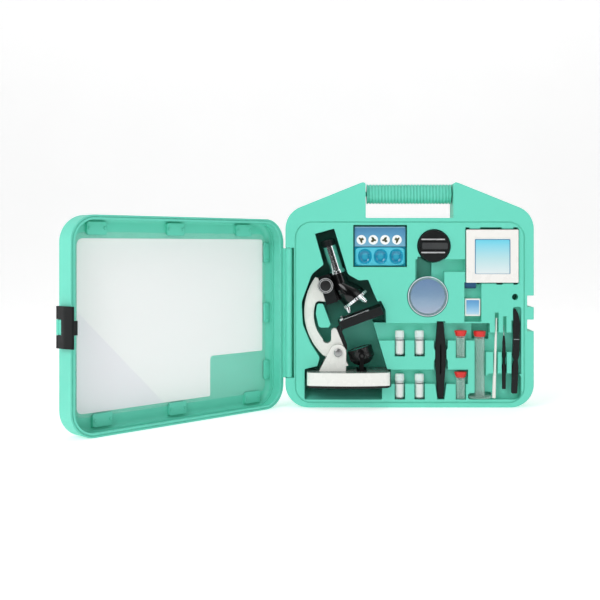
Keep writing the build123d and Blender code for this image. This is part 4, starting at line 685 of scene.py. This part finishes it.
# ------------------------------------------------------------------ rounded shell of the mirror's drum
low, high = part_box("mirror_drum")
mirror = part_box("mirror_glass")
MIRROR_AXIS = (mirror[0] + mirror[1]) / 2 - MIRROR_PIVOT
MIRROR_AXIS = Vector((MIRROR_AXIS.x, 0, MIRROR_AXIS.z))
DRUM = [(0, -0.0122), (0.0068, -0.0118), (0.0112, -0.0092), (0.0142, -0.005), (0.0152, 0.0), (0.0152, 0.0048)]
DRUM += [(0.0145, 0.0084), (0.0129, 0.0086), (0.0129, 0.0068)]
DRUM_MIDDLE = Vector((MIRROR_PIVOT.x, (low.y + high.y) / 2, MIRROR_PIVOT.z))
DRUM_FACETS = 14
lathe("drum_shell", DRUM, DRUM_MIDDLE, MIRROR_AXIS, DRUM_BLACK, "mirror", DRUM_FACETS)

# ------------------------------------------------------------------ domed cap on the tilt bolt
low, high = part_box("tilt_bolt")
DOME = [(0.0049, -0.0006), (0.0049, 0.0002), (0.0045, 0.0006)]
DOME += [(0.003, 0.0008), (0.0016, 0.0009), (0, 0.00095)]
bolt_at = ((low.x + high.x) / 2, low.y, (low.z + high.z) / 2)
lathe("bolt_dome", DOME, bolt_at, FRONT, BOLT, "scope")

# ------------------------------------------------------------------ stoppers
PINK = clear("red_plug", (0.95, 0.3, 0.28), (0.1, 0.2))
CYLINDER_RADIUS = 0.0062
TUBE_WALL = 0.0009


def stopper(node, tube, body):
    """Flared red stopper with a translucent plug, in place of the plain CAD stopper."""
    low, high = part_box(node)
    outer = (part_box(tube)[1].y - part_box(tube)[0].y) / 2 if tube != "cylinder" else CYLINDER_RADIUS
    x, y = (low.x + high.x) / 2, (low.y + high.y) / 2
    rim = (high.x - low.x) / 2
    plug = 0.97 * (outer - TUBE_WALL)
    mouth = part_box(tube)[1].z - high.z
    shape = [(0, 0), (rim * 0.9, 0), (rim, -0.0007), (rim, -0.0016), (outer + 0.0004, mouth - 0.0034)]
    shape += [(outer + 0.0001, mouth - 0.0036), (outer + 0.0001, mouth + 0.0001), (0, mouth + 0.0001)]
    cap = lathe(f"{node}_flare", shape, (x, y, high.z), UP, RED_MATERIAL, body)
    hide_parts(node)
    end = low.z - high.z
    stem = [(0, mouth), (plug, mouth), (plug, end + 0.0006), (plug - 0.0006, end), (0, end)]
    lathe(f"{node}_plug", stem, (x, y, high.z), UP, PINK, body)


stopper("sample_tube_cap_1", "sample_tube_1", "sample_cap_1")
stopper("sample_tube_cap_2", "sample_tube_2", "sample_cap_2")
stopper("cylinder_cap", "cylinder", "cylinder_cap")

# ------------------------------------------------------------------ tinted wells
low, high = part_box("specimen_wells")
COLUMNS, ROWS = 186, 72
RIM_Y, BED_Y = low.y, low.y + 0.0022
MIDDLE = Vector(((low.x + high.x) / 2, (low.z + high.z) / 2))
BLOCK_HALF_WIDE, BLOCK_HALF_TALL, BLOCK_POWER, BLOCK_STEEPNESS = 0.0309, 0.0115, 7, 14
BOWLS = (-0.0182, 0.0008, 0.0198)
BOWL_HALF_WIDE, BOWL_HALF_TALL, BOWL_POWER, BOWL_DEPTH = 0.0084, 0.0092, 2.3, 0.0044


def bulge(x, z, half_wide, half_tall, power):
    """0 at the middle of a rounded rectangle and 1 on its edge."""
    return (abs(x / half_wide) ** power + abs(z / half_tall) ** power) ** (1 / power)


mesh = bmesh.new()
grid = []
for column in range(COLUMNS + 1):
    x = low.x + (high.x - low.x) * column / COLUMNS
    line = []
    for row in range(ROWS + 1):
        z = low.z + (high.z - low.z) * row / ROWS
        edge = bulge(x - MIDDLE.x, z - MIDDLE.y, BLOCK_HALF_WIDE, BLOCK_HALF_TALL, BLOCK_POWER)
        y = BED_Y if edge > 1 else BED_Y - (BED_Y - RIM_Y) * min(1, BLOCK_STEEPNESS * (1 - edge)) ** 0.5
        for bowl in BOWLS:
            reach = bulge(x - MIDDLE.x - bowl, z - MIDDLE.y, BOWL_HALF_WIDE, BOWL_HALF_TALL, BOWL_POWER)
            if reach < 1:
                y = RIM_Y + BOWL_DEPTH * (1 - reach**3) ** 0.7
        line.append(mesh.verts.new((x, y, z)))
    grid.append(line)
for left, right in zip(grid, grid[1:]):
    for i in range(ROWS):
        mesh.faces.new((left[i], right[i], right[i + 1], left[i + 1]))
# sides and a flat back close the piece, in a fixed order so that each run makes the same mesh
outline = [line[0] for line in grid[:-1]] + grid[-1][:-1]
outline += [line[-1] for line in grid[:0:-1]] + grid[0][:0:-1]
back = [mesh.verts.new((vertex.co.x, high.y - 0.0002, vertex.co.z)) for vertex in outline]
for i in range(len(outline)):
    j = (i + 1) % len(outline)
    mesh.faces.new((outline[j], back[j], back[i], outline[i]))
mesh.faces.new(back)
WELL = Look("well_cyan_painted_light", Coat_Weight=0.15, Transmission_Weight=0.2)
# colour by depth: lightest at the front rims and the bowls' bottoms, darkest on the bowls' sides: painted
# highlight on the rims and bowl bottoms, painted shade on the bowl sides
WELL_PAINTED_LIGHT_CYANS = [(0.0, (92, 214, 238)), (0.3, (34, 180, 214)), (0.85, (12, 142, 182)), (1.0, (74, 202, 228))]
WELL.printed_and_painted_light(WELL.along("Y", low.y, low.y + 0.0046), [(at, srgb(*shade)) for at, shade in WELL_PAINTED_LIGHT_CYANS])
WELL_CYAN = WELL.uneven(0.06, 0.12).grain(2.5, 0.02, 0.35).material
wells = finish_piece(mesh, "wells", WELL_CYAN, "specimens")
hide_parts("specimen_wells")

# ------------------------------------------------------------------ packet behind the slide box
low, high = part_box("slide_box_tray")
DEEP_BLUES = [(0.0, (16, 60, 92)), (0.5, (38, 92, 138)), (1.0, (30, 78, 120))]
PACKET_BLUE = gradient("packet_blue", low.z - 0.0072, low.z, DEEP_BLUES, 0.35)
plate(
    "blue_packet",
    rounded(low.x - 0.0008, low.x + 0.0128, low.z - 0.0072, low.z + 0.0002, 0.0006),
    FACE + 0.0062,
    FACE + 0.0118,
    PACKET_BLUE,
    "base",
    0.2,
)

# ------------------------------------------------------------------ stage and camera
FLOOR = Look("pale_floor", rough=0.8, Emission_Strength=0.4).colour((0.9, 0.9, 0.9), 0.01, 200)
FLOOR.bsdf.inputs["Emission Color"].default_value = (1, 1, 1, 1)
FLOOR_REACH, BEND_START, BEND_RADIUS, BACKDROP_TOP = 6.0, 1.6, 1.2, 5.0
sweep = [(-FLOOR_REACH, 0.0), (BEND_START, 0.0)]
for step in range(1, 16):
    turn = math.radians(6 * step)
    sweep.append((BEND_START + BEND_RADIUS * math.sin(turn), BEND_RADIUS - BEND_RADIUS * math.cos(turn)))
sweep.append((BEND_START + BEND_RADIUS, BACKDROP_TOP))
mesh = bmesh.new()
rows = [[mesh.verts.new((x, y, z - 0.0002)) for x in (-FLOOR_REACH, FLOOR_REACH)] for y, z in sweep]
for lower, upper in zip(rows, rows[1:]):
    mesh.faces.new((lower[0], lower[1], upper[1], upper[0]))
data = bpy.data.meshes.new("floor")
mesh.to_mesh(data)
mesh.free()
data.shade_smooth()
floor = bpy.data.objects.new("floor", data)
bpy.context.scene.collection.objects.link(floor)
dress(floor, FLOOR.material)


def soft_box(name, place, aim, size, power, reflected=True):
    """Rectangular studio light aimed at a point."""
    light = bpy.data.lights.new(name, "AREA")
    light.shape = "RECTANGLE"
    light.size, light.size_y = size
    light.energy = power
    obj = bpy.data.objects.new(name, light)
    obj.location = place
    obj.rotation_euler = (Vector(aim) - Vector(place)).to_track_quat("-Z", "Y").to_euler()
    obj.visible_glossy = reflected
    bpy.context.scene.collection.objects.link(obj)


def flag(name, corners, reflected_only=False):
    """Black studio card, out of the camera's sight, that chrome and glossy black reflect."""
    mesh = bmesh.new()
    mesh.faces.new([mesh.verts.new(corner) for corner in corners])
    data = bpy.data.meshes.new(name)
    mesh.to_mesh(data)
    mesh.free()
    card = bpy.data.objects.new(name, data)
    bpy.context.scene.collection.objects.link(card)
    dress(card, FLAG)
    card.visible_camera = False
    card.visible_diffuse = card.visible_shadow = not reflected_only


FLAG = Look("black_flag", rough=0.9).colour((0.015, 0.015, 0.015), 0.1, 100).material
TALL_FLAG = [(-1.55, -2.4, 0), (0.45, -2.4, 0), (0.45, -2.4, 2.2), (-1.55, -2.4, 2.2)]
LOW_FLAG = [(-1.0, -1.45, 0.01), (1.0, -1.45, 0.01), (1.0, -1.45, 0.5), (-1.0, -1.45, 0.5)]
FLOOR_FLAG = [(-1.0, -1.45, 0.01), (-0.4, -1.45, 0.01), (-0.4, -0.3, 0.01), (-1.0, -0.3, 0.01)]
flag("flag_behind_camera", TALL_FLAG)
flag("flag_low", LOW_FLAG, True)
flag("flag_floor", FLOOR_FLAG, True)

soft_box("key", (-1.1, -1.6, 1.3), (-0.05, 0, 0.12), (1.0, 1.0), 15.5)
soft_box("front", (-0.3, -2.0, 0.3), (-0.1, 0, 0.1), (1.4, 0.4), 4.2, False)
soft_box("fill", (1.3, -1.6, 0.9), (-0.05, 0, 0.12), (1.2, 1.2), 5.5)
soft_box("side", (-2.2, -0.5, 0.7), (-0.25, -0.1, 0.12), (0.8, 1.0), 7)
soft_box("top", (0.0, -0.3, 1.9), (0, -0.05, 0.1), (1.6, 1.0), 6.8)

world = bpy.data.worlds.new("studio")
world.use_nodes = True
world.node_tree.nodes["Background"].inputs["Color"].default_value = (1, 1, 1, 1)
world.node_tree.nodes["Background"].inputs["Strength"].default_value = 0.33
bpy.context.scene.world = world

camera = bpy.data.objects.new("camera", bpy.data.cameras.new("camera"))
camera.data.sensor_width = 36
camera.data.lens = 58.35
camera.data.shift_x = -0.0587
camera.data.shift_y = -0.0892
camera.data.clip_start = 0.01
CAMERA_X, CAMERA_HEIGHT, CAMERA_AWAY = -0.08986, 0.19444, 1.1745
camera.location = (CAMERA_X, FACE - CAMERA_AWAY, CAMERA_HEIGHT)
camera.rotation_euler = (math.radians(90), 0, 0)
bpy.context.scene.collection.objects.link(camera)
bpy.context.scene.camera = camera
bpy.context.scene.view_settings.view_transform = "Standard"
